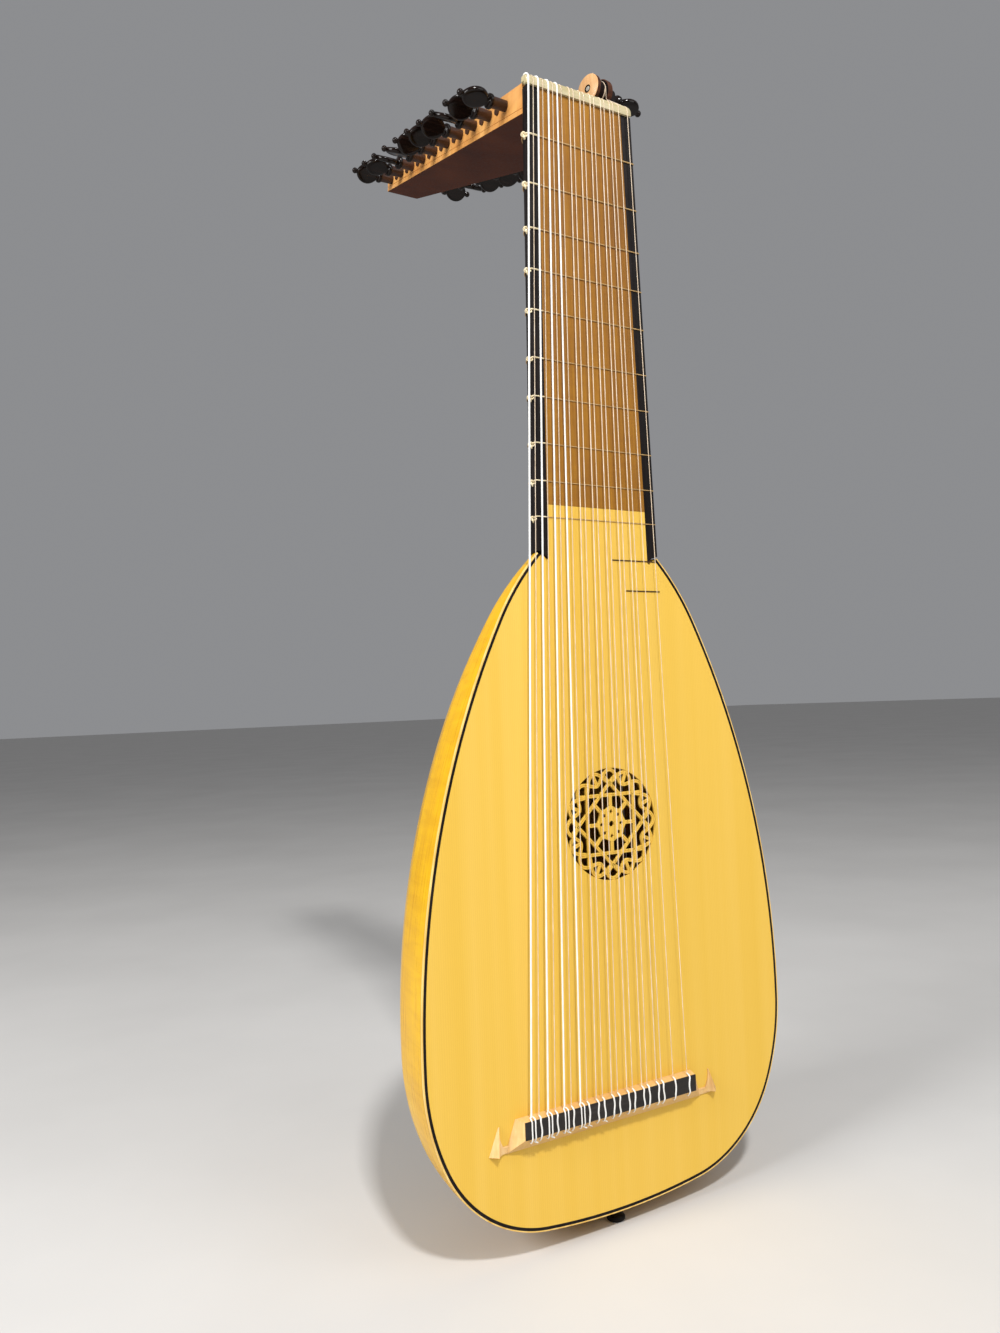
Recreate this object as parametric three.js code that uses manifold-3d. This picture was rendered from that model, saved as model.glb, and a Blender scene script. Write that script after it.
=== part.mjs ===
// An eleven-course lute with a bent-back pegbox, standing on its strap button.
// Units are millimetres. Inside the file the lute has its own frame: x = 0 is the centre line, +X is
// the treble side, y = 0 is the front of the soundboard, +Y goes to the back, and z = 0 is the bottom
// edge of the soundboard. The exported group is shifted so that the strap button's flat end is at 0.
import * as THREE from "three";
import { mergeVertices } from "three/addons/utils/BufferGeometryUtils.js";
import Module from "manifold-3d";

const wasm = await Module();
wasm.setup();

// ---- driving dimensions ----
const GAP = 0.3; // clearance between touching pieces
const STRING_LENGTH = 700;
const BRIDGE_Z = 81.8; // upper edge of the bridge
const NUT_Z = BRIDGE_Z + STRING_LENGTH;
const JOINT_Z = 454; // the body meets the neck

// The half outline of the body, from the bottom centre up: [radius, sweep in degrees] of each arc.
const OUTLINE_ARCS = [
  [512, 7.4],
  [95, 57.9],
  [152, 23.9],
  [606, 28.4],
  [187, 16.9],
];
const ARC_STEPS = [2, 6, 3, 5, 2];

const RIBS = 11;
const RIB_THICKNESS = 1.6;
const RIB_START = 14; // the ribs stop this far from the bottom centre, under the end clasp
const BOWL_DEPTH_RATIO = 0.95; // depth over half width
const BOWL_JOINT_DEPTH = 27; // depth of the bowl where the neck starts
const BOWL_TAPER_START_Z = 320;

const BOARD_THICKNESS = 1.8; // soundboard
const ROSE_Z = 265;
const ROSE_RINGS = [
  [0, 1, 2.6],
  [10, 6, 2.8],
  [20, 12, 2.9],
  [30.5, 18, 3.1],
]; // [ring radius, holes, hole radius]

const NECK_HALF_NUT = 46;
const NECK_HALF_JOINT = 53;
const NECK_DEPTH_NUT = 23;
const NECK_DEPTH_JOINT = 27;
const NECK_FRONT = 2.5; // the neck starts behind the fingerboard
const FINGERBOARD_THICKNESS = 2.2;
const FINGERBOARD_END_Z = 487.5; // below this the soundboard runs on as a tongue
const EDGE_STRIP_WIDTH = 9.3;
const EDGE_POINT_Z = 450; // lower points of the two edge strips

const NUT_HEIGHT = 8.4;
const NUT_FRONT = -1.7;

const PEGBOX_ANGLE = 13.14; // degrees above horizontal, going back
const PEGBOX_LENGTH = 280;
const PEGBOX_ROOT_Y = 6.6;
const PEGBOX_TOP_Z = NUT_Z + 4.5;
const PEGBOX_DEPTH = [21, 12.5]; // at the root and at the tip
const PEGBOX_HALF = [44.9, 15.6];
const CHEEK_THICKNESS = 6.5;
const PEGBOX_BACK_THICKNESS = 4;
const PEGBOX_END_LENGTH = 7;
const NECK_REBATE = 0.6; // the pegbox back is let this far into the neck's top

const PEGS_PER_SIDE = 10;
const BASS_PEG_START = 25.5; // distance along the pegbox
const TREBLE_PEG_START = 39;
const PEG_PITCH = 27;
const PEG_AXIS_SHARE = 0.52; // depth of the peg's axis in the cheek
const WINDING_SHARE = 0.62; // a string winds nearer the middle than it crosses the nut
const PEG_TIP_RADIUS = 2.9;
const PEG_COLLAR_RADIUS = 3.9;
const PEG_STEM = 11.5; // the shaft shows this far between the cheek and the collar
const PEG_COLLAR = { radius: 5.3, end: 16 };
const THUMB = { middle: 25.3, halfLength: 9.8, halfWidth: 9.6, halfThickness: 3.3 };
const PEG_BALL = { radius: 2.4, middle: 37.7 };
// Degrees, as tuned, from the nut on. The treble pegs mirror them from the far end on.
const PEG_REST_TURNS = [105, 145, 62, 140, 130, 155, 70, 60, 110, 135];

// The first string's own raised peg: its axis through the post that stands on the treble cheek.
const RIDER = { x: 40.6, y: 19.6, z: NUT_Z + 23.8, swing: 9, turn: 80 }; // swing and turn in degrees
const RIDER_POST = { thickness: 5.6, radius: 6.5 };
const SPOOL_RADIUS = 10.6;
const SPOOL_LENGTH = 16.5;
const DRUM_RADIUS = 8.2;
const SPOOL_END = -4.2; // the spool's treble face, measured from the post's middle

// The clasp is thin behind the soundboard, reaches its thickness at slope and is flat under the button.
const CLASP = { front: 2.2, slope: 6.4, back: 27, halfLength: 56, flat: 7, thickness: [2.5, 1.2] };
const BUTTON_Y = 14;
const BUTTON_END_Z = -12;

const COURSES = 11;
const PAIRS = 9; // the last two courses are single strings
// The middle of each course across the nut, bass to treble. The bridge spaces the courses evenly.
const COURSE_NUT_X = [-43.2, -35.2, -26.7, -19.3, -8.7, 0.5, 9.5, 18.8, 27, 33.7, 41.9];
const COURSE_SADDLE_START = -77;
const COURSE_SADDLE_PITCH = 13;
const PAIR_GAP_NUT = [4, 3]; // between the two strings of the lowest and of the highest pair
const PAIR_GAP_SADDLE = [5.9, 4.6];
const COURSE_RADIUS = [0.65, 0.65, 0.62, 0.6, 0.4, 0.4, 0.36, 0.34, 0.32, 0.28, 0.25];
const OCTAVE_RADIUS = 0.3; // the second string of a pair, where its first is thicker
const BRIDGE_TOP = -9; // y of the bridge's front face
const STRING_AT_BRIDGE = -6.8;

// ---- materials ----
const paint = (color, roughness) => new THREE.MeshStandardMaterial({ color, roughness, metalness: 0 });
const SPRUCE = paint(0xf0c85c, 0.5);
const MAPLE = paint(0xdf9a2c, 0.25);
const PALE_WOOD = paint(0xdba85e, 0.5);
const PEGBOX_WOOD = paint(0xc98a48, 0.45);
const FINGERBOARD_WOOD = paint(0xa06b38, 0.5);
const EBONY = paint(0x231e1e, 0.35);
const PEG_WOOD = paint(0x2b1a14, 0.25);
const BONE = paint(0xe4d9b8, 0.4);
const GUT = paint(0xf4efe4, 0.45);

// ---- solids from geometry and back ----
function toSolid(geometry) {
  const bare = geometry.clone();
  bare.deleteAttribute("normal");
  bare.deleteAttribute("uv");
  const merged = mergeVertices(bare, 1e-4);
  return new wasm.Manifold(
    new wasm.Mesh({
      numProp: 3,
      vertProperties: merged.attributes.position.array,
      triVerts: new Uint32Array(merged.index.array),
    }),
  );
}

function toGeometry(solid) {
  const { vertProperties, triVerts, numProp } = solid.getMesh();
  const positions = new Float32Array((vertProperties.length / numProp) * 3);
  for (let i = 0; i < positions.length / 3; i++)
    positions.set(vertProperties.subarray(i * numProp, i * numProp + 3), i * 3);
  const geometry = new THREE.BufferGeometry();
  geometry.setAttribute("position", new THREE.BufferAttribute(positions, 3));
  geometry.setIndex([...triVerts]);
  geometry.computeVertexNormals();
  return geometry;
}

const unite = (...geometries) => toGeometry(geometries.map(toSolid).reduce((a, b) => a.add(b)));

function cut(geometry, ...cutters) {
  return toGeometry(cutters.reduce((solid, cutter) => solid.subtract(toSolid(cutter)), toSolid(geometry)));
}

// A closed solid through rings of points, each ring convex and with as many points as the next.
function loft(rings) {
  const count = rings[0].length;
  const positions = rings.flat().flatMap((p) => [p.x, p.y, p.z]);
  const faces = [];
  for (let i = 0; i + 1 < rings.length; i++)
    for (let j = 0; j < count; j++) {
      const a = i * count + j;
      const b = i * count + ((j + 1) % count);
      faces.push(a, b, b + count, a, b + count, a + count);
    }
  const last = (rings.length - 1) * count;
  for (let j = 1; j + 1 < count; j++) {
    faces.push(0, j + 1, j);
    faces.push(last, last + j, last + j + 1);
  }
  const geometry = new THREE.BufferGeometry();
  geometry.setAttribute("position", new THREE.Float32BufferAttribute(positions, 3));
  geometry.setIndex(faces);
  if (toSolid(geometry).volume() < 0) geometry.setIndex(faces.reverse());
  geometry.computeVertexNormals();
  return geometry;
}

const at = (x, y, z) => new THREE.Vector3(x, y, z);

function box(low, high) {
  const size = high.map((v, i) => v - low[i]);
  const middle = high.map((v, i) => (v + low[i]) / 2);
  return new THREE.BoxGeometry(...size).translate(...middle);
}

// A flat plate whose outline is drawn in x and z, from y = front to y = front + thickness.
function plate(shape, front, thickness, curveSegments = 12) {
  const options = { depth: thickness, bevelEnabled: false, curveSegments };
  return new THREE.ExtrudeGeometry(shape, options).rotateX(Math.PI / 2).translate(0, front + thickness, 0);
}

// A solid with an outline drawn in y and z, from x = left to x = right.
function extrudeAcross(shape, left, right, curveSegments = 6) {
  const options = { depth: right - left, bevelEnabled: false, curveSegments };
  const turned = new THREE.Matrix4().set(0, 0, 1, left, 1, 0, 0, 0, 0, 1, 0, 0, 0, 0, 0, 1);
  return new THREE.ExtrudeGeometry(shape, options).applyMatrix4(turned);
}

// ---- the body's outline ----
// Stations up the half outline: half width, height and the heading of the edge there.
function outlineStations() {
  const stations = [{ half: 0, z: 0, heading: 0 }];
  let { half, z, heading } = stations[0];
  OUTLINE_ARCS.forEach(([radius, degrees], i) => {
    const sweep = THREE.MathUtils.degToRad(degrees);
    const centre = [half - radius * Math.sin(heading), z + radius * Math.cos(heading)];
    for (let k = 1; k <= ARC_STEPS[i]; k++) {
      const turn = heading + (sweep * k) / ARC_STEPS[i];
      stations.push({
        half: centre[0] + radius * Math.sin(turn),
        z: centre[1] - radius * Math.cos(turn),
        heading: turn,
      });
    }
    ({ half, z, heading } = stations.at(-1));
  });
  return stations;
}
const STATIONS = outlineStations();

// How far the bowl has turned from a half ellipse below to the neck's flatter section, from 0 to 1.
const taper = (z) => THREE.MathUtils.smoothstep(z, BOWL_TAPER_START_Z, JOINT_Z);

function bowlDepth(half, z) {
  const excess = BOWL_DEPTH_RATIO * NECK_HALF_JOINT - BOWL_JOINT_DEPTH;
  return BOWL_DEPTH_RATIO * half - excess * taper(z);
}

// A point of the bowl's section at one station: angle 0 is the bass edge and pi the treble edge.
function bowlPoint(station, angle, inset = 0) {
  const half = station.half - inset * Math.sin(station.heading);
  const z = station.z + inset * Math.cos(station.heading);
  const depth = bowlDepth(station.half, station.z) - inset * Math.sin(station.heading);
  const power = 2 / (2 + 0.35 * taper(station.z));
  const along = Math.cos(angle);
  const x = -half * Math.sign(along) * Math.abs(along) ** power;
  return at(x, depth * Math.sin(angle) ** power, z);
}

// ---- ribs ----
// The angle at which the section reaches the soundboard's back.
function edgeAngle(station) {
  const front = BOARD_THICKNESS + GAP;
  const power = (2 + 0.35 * taper(station.z)) / 2;
  return Math.asin((front / bowlDepth(station.half, station.z)) ** power);
}

function rib(index) {
  const rings = STATIONS.filter((station) => station.half > RIB_START).map((station) => {
    const edge = edgeAngle(station);
    const clearance = GAP / 2 / station.half;
    const step = (Math.PI - 2 * edge) / RIBS;
    const from = edge + step * index + (index > 0 ? clearance : 0);
    const to = edge + step * (index + 1) - (index < RIBS - 1 ? clearance : 0);
    return [
      bowlPoint(station, from),
      bowlPoint(station, to),
      bowlPoint(station, to, RIB_THICKNESS),
      bowlPoint(station, from, RIB_THICKNESS),
    ];
  });
  return loft(rings);
}

// ---- soundboard ----
function soundboard() {
  const inset = (station) => at(station.half - 0.2 * Math.sin(station.heading), 0, station.z + 0.1);
  const side = STATIONS.slice(1).map(inset);
  const shoulder = side.at(-1);
  const stripInner = NECK_HALF_JOINT - EDGE_STRIP_WIDTH - GAP;
  const shape = new THREE.Shape().moveTo(0, 0.1);
  side.forEach((p) => shape.lineTo(p.x, p.z));
  // A round lobe under the edge strip, then a narrow notch for the strip's point.
  shape.quadraticCurveTo(shoulder.x - 4.5, shoulder.z - 0.5, stripInner + 2, EDGE_POINT_Z - 1.2);
  shape.lineTo(stripInner, EDGE_POINT_Z);
  shape.lineTo(edgeStripInner(FINGERBOARD_END_Z) - GAP, FINGERBOARD_END_Z - GAP);
  shape.lineTo(-edgeStripInner(FINGERBOARD_END_Z) + GAP, FINGERBOARD_END_Z - GAP);
  shape.lineTo(-stripInner, EDGE_POINT_Z);
  shape.lineTo(-stripInner - 2, EDGE_POINT_Z - 1.2);
  shape.quadraticCurveTo(-shoulder.x + 4.5, shoulder.z - 0.5, -shoulder.x, shoulder.z);
  side.reverse().slice(1).forEach((p) => shape.lineTo(-p.x, p.z));
  shape.closePath();
  ROSE_RINGS.forEach(([radius, holes, size]) => {
    for (let k = 0; k < holes; k++) {
      const angle = (2 * Math.PI * (k + 0.5)) / holes;
      const hole = new THREE.Path();
      hole.absarc(radius * Math.cos(angle), ROSE_Z + radius * Math.sin(angle), size, 0, 2 * Math.PI, true);
      shape.holes.push(hole);
    }
  });
  return plate(shape, 0, BOARD_THICKNESS, 3);
}

// Cross bars glued behind the soundboard, shaped to clear the ribs.
function soundboardBar(z) {
  const half = halfWidthAt(z) - 9;
  const height = 13;
  const front = BOARD_THICKNESS + GAP;
  const profile = [
    [-half, front],
    [half, front],
    [half, front + 5],
    [half - 18, front + height],
    [-half + 18, front + height],
    [-half, front + 5],
  ];
  return loft([z - 2.5, z + 2.5].map((level) => profile.map(([x, y]) => at(x, y, level))));
}

function halfWidthAt(z) {
  const upper = STATIONS.findIndex((station) => station.z > z);
  const [a, b] = [STATIONS[upper - 1], STATIONS[upper]];
  return THREE.MathUtils.mapLinear(z, a.z, b.z, a.half, b.half);
}

// ---- neck, its block and the fingerboard ----
const neckHalf = (z) => THREE.MathUtils.mapLinear(z, JOINT_Z, NUT_Z, NECK_HALF_JOINT, NECK_HALF_NUT);
const neckDepth = (z) => THREE.MathUtils.mapLinear(z, JOINT_Z, NUT_Z, NECK_DEPTH_JOINT, NECK_DEPTH_NUT);
const edgeStripInner = (z) => neckHalf(z) - EDGE_STRIP_WIDTH;

function neckSection(z) {
  const steps = 12;
  const power = THREE.MathUtils.mapLinear(z, JOINT_Z, NUT_Z, 2 / 2.35, 1);
  const ring = [];
  for (let k = 0; k <= steps; k++) {
    const angle = (Math.PI * k) / steps;
    const along = Math.cos(angle);
    const x = -neckHalf(z) * Math.sign(along) * Math.abs(along) ** power;
    ring.push(at(x, NECK_FRONT + (neckDepth(z) - NECK_FRONT) * Math.sin(angle) ** power, z));
  }
  return ring;
}

// The neck's top is cut away behind for the pegbox, and leaves a thin tongue under the nut.
function neck() {
  const body = loft([neckSection(JOINT_Z + 1), neckSection(NUT_Z - GAP)]);
  const room = new THREE.Shape();
  const far = 100;
  room.moveTo(PEGBOX_ROOT_Y - GAP, undersideZ(PEGBOX_ROOT_Y - GAP) + NECK_REBATE - GAP);
  room.lineTo(far, undersideZ(far) + NECK_REBATE - GAP);
  room.lineTo(far, NUT_Z + far);
  room.lineTo(PEGBOX_ROOT_Y - GAP, NUT_Z + far);
  return cut(body, extrudeAcross(room, -far, far));
}

// The block inside the bowl that the neck is glued and nailed to.
function neckBlock() {
  const bottom = JOINT_Z - 38;
  const rings = [bottom, JOINT_Z - 1].map((z) => {
    const half = halfWidthAt(z) - 5.5;
    const depth = bowlDepth(halfWidthAt(z), z) - 5;
    const ring = [];
    for (let k = 0; k <= 10; k++) {
      const angle = (Math.PI * k) / 10;
      ring.push(at(-half * Math.cos(angle), NECK_FRONT + (depth - NECK_FRONT) * Math.sin(angle), z));
    }
    return ring;
  });
  return loft(rings);
}

function fingerboard() {
  const corners = (z) => {
    const half = edgeStripInner(z) - GAP;
    const front = [at(-half, 0, z), at(half, 0, z)];
    return [...front, at(half, FINGERBOARD_THICKNESS, z), at(-half, FINGERBOARD_THICKNESS, z)];
  };
  return loft([corners(FINGERBOARD_END_Z), corners(NUT_Z - GAP)]);
}

// An edge strip ends in an inward point; side is -1 for the bass and 1 for the treble.
function edgeStrip(side) {
  const shape = new THREE.Shape();
  const inner = (z) => edgeStripInner(z);
  shape.moveTo(side * inner(NUT_Z), NUT_Z - GAP);
  shape.lineTo(side * neckHalf(NUT_Z), NUT_Z - GAP);
  shape.lineTo(side * neckHalf(JOINT_Z), JOINT_Z + 0.8);
  const hollow = side * (inner(JOINT_Z) + 5);
  shape.quadraticCurveTo(hollow, JOINT_Z + 1, side * (inner(JOINT_Z) + 0.8), EDGE_POINT_Z + 0.8);
  shape.lineTo(side * inner(EDGE_POINT_Z), EDGE_POINT_Z + 0.8);
  shape.closePath();
  return plate(shape, 0, FINGERBOARD_THICKNESS, 4);
}

function nut() {
  const profile = [
    [NUT_FRONT, GAP],
    [NUT_FRONT, 2.6],
    [0.6, 7],
    [2.4, NUT_HEIGHT],
    [6.3, NUT_HEIGHT],
    [6.3, 3],
    [2.3, 3],
    [2.3, GAP],
  ];
  const outline = new THREE.Shape(profile.map(([y, z]) => new THREE.Vector2(y, NUT_Z + z)));
  return extrudeAcross(outline, -NECK_HALF_NUT - 0.4, NECK_HALF_NUT + 0.4);
}

// ---- pegbox ----
const ALONG = THREE.MathUtils.degToRad(PEGBOX_ANGLE);

// A point of the pegbox: across, distance back from its root, and depth under its open top edge.
function pegboxPoint(x, along, depth) {
  return at(
    x,
    PEGBOX_ROOT_Y + along * Math.cos(ALONG) + depth * Math.sin(ALONG),
    PEGBOX_TOP_Z + along * Math.sin(ALONG) - depth * Math.cos(ALONG),
  );
}
const pegboxDepth = (along) => THREE.MathUtils.lerp(...PEGBOX_DEPTH, along / PEGBOX_LENGTH);
const pegboxHalf = (along) => THREE.MathUtils.lerp(...PEGBOX_HALF, along / PEGBOX_LENGTH);
// The underside rises a little more steeply than the open top edge, because the box tapers.
const UNDERSIDE_SLOPE = ALONG + Math.atan((PEGBOX_DEPTH[0] - PEGBOX_DEPTH[1]) / PEGBOX_LENGTH);
const cheekDepth = (along) => pegboxDepth(along) - PEGBOX_BACK_THICKNESS - GAP;

// The root end of each piece is cut upright, so it starts a little further back at the bottom.
const rootAt = (depth) => -depth * Math.tan(ALONG);

function cheek(side, pegs) {
  const outer = (along) => side * pegboxHalf(along);
  const inner = (along) => side * (pegboxHalf(along) - CHEEK_THICKNESS);
  const end = PEGBOX_LENGTH;
  const ring = (along, depthOf) => {
    const low = depthOf(along);
    const back = along > 0 ? along : rootAt(low);
    return [
      pegboxPoint(outer(along), along, 0),
      pegboxPoint(inner(along), along, 0),
      pegboxPoint(inner(along), back, low),
      pegboxPoint(outer(along), back, low),
    ];
  };
  const body = loft([ring(0, cheekDepth), ring(end, cheekDepth)]);
  return cut(body, ...pegs.map((peg) => pegBore(peg)));
}

// Where the underside's plane is, over y.
function undersideZ(y) {
  const root = pegboxPoint(0, rootAt(PEGBOX_DEPTH[0]), PEGBOX_DEPTH[0]);
  return root.z + (y - root.y) * Math.tan(UNDERSIDE_SLOPE);
}

// The back's root is thinner where it is let into the neck, so its free underside is one flat face.
function pegboxBack() {
  const ring = (along) => {
    const half = pegboxHalf(along);
    const top = pegboxDepth(along) - PEGBOX_BACK_THICKNESS;
    const low = pegboxDepth(along);
    const shift = (depth) => (along > 0 ? along : rootAt(depth));
    return [
      pegboxPoint(-half, shift(top), top),
      pegboxPoint(half, shift(top), top),
      pegboxPoint(half, shift(low), low),
      pegboxPoint(-half, shift(low), low),
    ];
  };
  const [from, to] = [-1, NECK_DEPTH_NUT + 2 * GAP];
  const rebate = new THREE.Shape();
  rebate.moveTo(from, undersideZ(from) - 1);
  rebate.lineTo(to, undersideZ(to) - 1);
  rebate.lineTo(to, undersideZ(to) + NECK_REBATE);
  rebate.lineTo(from, undersideZ(from) + NECK_REBATE);
  return cut(loft([ring(0), ring(PEGBOX_LENGTH)]), extrudeAcross(rebate, -60, 60));
}

function pegboxEnd() {
  const ring = (along) => {
    const half = pegboxHalf(along) - CHEEK_THICKNESS - GAP;
    const low = cheekDepth(along);
    const corners = [[-half, 0], [half, 0], [half, low], [-half, low]];
    return corners.map(([x, depth]) => pegboxPoint(x, along, depth));
  };
  return loft([ring(PEGBOX_LENGTH - PEGBOX_END_LENGTH), ring(PEGBOX_LENGTH)]);
}

// ---- pegs ----
// Each peg: the side its head is on, its place and how far its shaft reaches inwards.
function pegList() {
  const pegs = [];
  for (let i = 0; i < PEGS_PER_SIDE; i++) {
    const name = `peg_bass_${String(i + 1).padStart(2, "0")}`;
    pegs.push({ side: -1, name, along: BASS_PEG_START + PEG_PITCH * i, turn: PEG_REST_TURNS[i] });
  }
  for (let i = 0; i < PEGS_PER_SIDE - 1; i++) {
    const name = `peg_treble_${String(i + 2).padStart(2, "0")}`;
    const turn = 180 - PEG_REST_TURNS[PEGS_PER_SIDE - 1 - i];
    pegs.push({ side: 1, name, along: TREBLE_PEG_START + PEG_PITCH * i, turn });
  }
  pegs.forEach((peg) => {
    peg.centre = pegboxPoint(0, peg.along, PEG_AXIS_SHARE * cheekDepth(peg.along));
    peg.outer = pegboxHalf(peg.along);
    peg.reach = 2 * peg.outer + 1;
  });
  return pegs;
}
const PEGS = pegList();

// A tapered round bar along +Z from -reach to 0, thicker towards 0.
function taperedShaft(reach, clearance, sides) {
  const grow = clearance ? 1 / Math.cos(Math.PI / sides) : 1;
  const tip = (PEG_TIP_RADIUS + clearance) * grow;
  const collar = (PEG_COLLAR_RADIUS + clearance) * grow;
  const over = clearance ? 2 : 0;
  const shaft = new THREE.CylinderGeometry(collar, tip, reach + over, sides);
  return shaft.rotateX(Math.PI / 2).translate(0, 0, -reach / 2);
}

// Shaft, collar, waist, ball finial turned as one profile, and a flat rounded thumb piece.
function pegGeometry(reach, sides = 8) {
  const profile = [
    [0, -0.5],
    [PEG_COLLAR_RADIUS, -0.5],
    [PEG_COLLAR_RADIUS + 0.3, PEG_STEM],
    [PEG_COLLAR.radius, PEG_STEM + 1],
    [PEG_COLLAR.radius, PEG_COLLAR.end - 1],
    [PEG_BALL.radius + 0.8, PEG_COLLAR.end],
    [PEG_BALL.radius - 0.4, PEG_BALL.middle - PEG_BALL.radius],
    [PEG_BALL.radius, PEG_BALL.middle],
    [0, PEG_BALL.middle + PEG_BALL.radius],
  ].map(([r, z]) => new THREE.Vector2(r, z));
  const turned = new THREE.LatheGeometry(profile, sides).rotateX(Math.PI / 2);
  const thumb = new THREE.SphereGeometry(1, sides, 5).rotateZ(Math.PI / sides);
  thumb.scale(THUMB.halfWidth, THUMB.halfThickness, THUMB.halfLength).translate(0, 0, THUMB.middle);
  return unite(taperedShaft(reach, 0, sides), turned, thumb);
}

// Turns a piece that was made along +Z so that it points to the bass or the treble side.
function lay(geometry, peg) {
  return geometry
    .rotateZ(THREE.MathUtils.degToRad(peg.turn))
    .rotateY((peg.side * Math.PI) / 2)
    .translate(peg.side * peg.outer, peg.centre.y, peg.centre.z);
}

const pegBore = (peg) => lay(taperedShaft(peg.reach, GAP, 8), peg);
const peg = (entry) => lay(pegGeometry(entry.reach), entry);

// ---- the first string's raised peg, its post and its spool ----
// These are made along X about the post's middle, then swung square to the treble cheek.
function placeOnRider(geometry) {
  return geometry.rotateZ(THREE.MathUtils.degToRad(RIDER.swing)).translate(RIDER.x, RIDER.y, RIDER.z);
}

const RIDER_REACH = SPOOL_LENGTH - SPOOL_END - RIDER_POST.thickness / 2 + 0.4;

function riderPeg() {
  const turn = THREE.MathUtils.degToRad(RIDER.turn);
  const made = pegGeometry(RIDER_REACH).rotateZ(turn).rotateY(Math.PI / 2);
  // The stem starts at the post's bass face, and passes through the post.
  return placeOnRider(made.translate(-RIDER_POST.thickness / 2, 0, 0));
}

function riderPost() {
  const { thickness, radius } = RIDER_POST;
  const foot = pegboxPoint(0, RIDER.y - PEGBOX_ROOT_Y, -GAP).z - RIDER.z;
  const slope = Math.tan(ALONG) * radius;
  const shape = new THREE.Shape();
  shape.moveTo(radius, foot + slope);
  shape.lineTo(radius, 0);
  shape.absarc(0, 0, radius, 0, Math.PI, false);
  shape.lineTo(-radius, foot - slope);
  shape.closePath();
  const post = extrudeAcross(shape, -thickness / 2, thickness / 2);
  const bore = new THREE.CylinderGeometry(4.5, 4.5, 20, 12).rotateZ(Math.PI / 2);
  return placeOnRider(cut(post, bore));
}

function riderSpool() {
  const [left, right] = [SPOOL_END - SPOOL_LENGTH, SPOOL_END];
  const profile = [
    [3.5, left],
    [SPOOL_RADIUS, left],
    [SPOOL_RADIUS, left + 4],
    [DRUM_RADIUS, left + 5],
    [DRUM_RADIUS, right - 5.5],
    [SPOOL_RADIUS, right - 4.5],
    [SPOOL_RADIUS, right],
    [4.3, right],
    [3.5, left],
  ].map(([r, x]) => new THREE.Vector2(r, x));
  // The profile turns about Y, and Y then becomes X.
  return placeOnRider(new THREE.LatheGeometry(profile, 20).rotateZ(-Math.PI / 2));
}

// ---- strings ----
// A round bar through points that lie nearly in one upright plane.
function bar(points, radius, sides = 6) {
  const rings = points.map((p, i) => {
    const before = points[Math.max(i - 1, 0)];
    const after = points[Math.min(i + 1, points.length - 1)];
    const dirIn = p.clone().sub(before).setX(0).normalize();
    const dirOut = after.clone().sub(p).setX(0).normalize();
    const along = dirIn.clone().add(dirOut).normalize();
    const normal = at(0, -along.z, along.y);
    const stretch = 1 / Math.max(0.6, along.dot(i ? dirIn : dirOut));
    return Array.from({ length: sides }, (_, k) => {
      const angle = (2 * Math.PI * (k + 0.5)) / sides;
      return p
        .clone()
        .add(at(radius * Math.cos(angle), 0, 0))
        .addScaledVector(normal, radius * stretch * Math.sin(angle));
    });
  });
  return loft(rings);
}

// All strings from bass to treble: their places across the nut and the bridge, and their radius.
function stringList() {
  const strings = [];
  COURSE_NUT_X.forEach((nutX, course) => {
    const share = course / (PAIRS - 1);
    const saddleX = COURSE_SADDLE_START + COURSE_SADDLE_PITCH * course;
    for (const side of course < PAIRS ? [-0.5, 0.5] : [0]) {
      strings.push({
        course,
        nutX: nutX + side * THREE.MathUtils.lerp(...PAIR_GAP_NUT, share),
        saddleX: saddleX + side * THREE.MathUtils.lerp(...PAIR_GAP_SADDLE, share),
        radius: side > 0 ? OCTAVE_RADIUS : COURSE_RADIUS[course],
      });
    }
  });
  return strings;
}
const STRINGS = stringList();

// The peg that a string winds on: outer strings go to the pegs nearest the nut.
function pegOf(index) {
  if (index < PEGS_PER_SIDE) return PEGS[index];
  const fromTreble = STRINGS.length - 1 - index;
  return fromTreble ? PEGS[PEGS_PER_SIDE + fromTreble - 1] : null;
}

// The first string comes off the front of the spool's drum, clear of its flange.
const SPOOL_LEAD = [
  [-10.5, -7.6, -6.8],
  [-9.5, -10.4, -9],
];

function routeFromPeg(index, x, lift) {
  const owner = pegOf(index);
  if (!owner) return SPOOL_LEAD.map(([dx, dy, dz]) => at(RIDER.x + dx, RIDER.y + dy, RIDER.z + dz));
  const depth = PEG_AXIS_SHARE * cheekDepth(owner.along) - PEG_COLLAR_RADIUS - lift - 0.2;
  return [pegboxPoint(WINDING_SHARE * x, owner.along - 2, depth)];
}

// A string from its peg, over the nut, down to the bridge and over the bridge's front.
function stringRoute(index) {
  const { nutX, saddleX, radius } = STRINGS[index];
  const lift = radius + GAP + 0.25;
  return [
    ...routeFromPeg(index, nutX, lift),
    at(nutX, 2.2, NUT_Z + NUT_HEIGHT + lift),
    at(nutX, 0.4 - lift, NUT_Z + 7),
    at(nutX, NUT_FRONT - lift, NUT_Z + 2.4),
    at(saddleX, STRING_AT_BRIDGE, BRIDGE_Z + 2.2 + radius),
    at(saddleX, BRIDGE_TOP - lift, BRIDGE_Z + 0.9),
    at(saddleX, BRIDGE_TOP - lift, BRIDGE_Z - 11.4),
  ];
}

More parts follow.
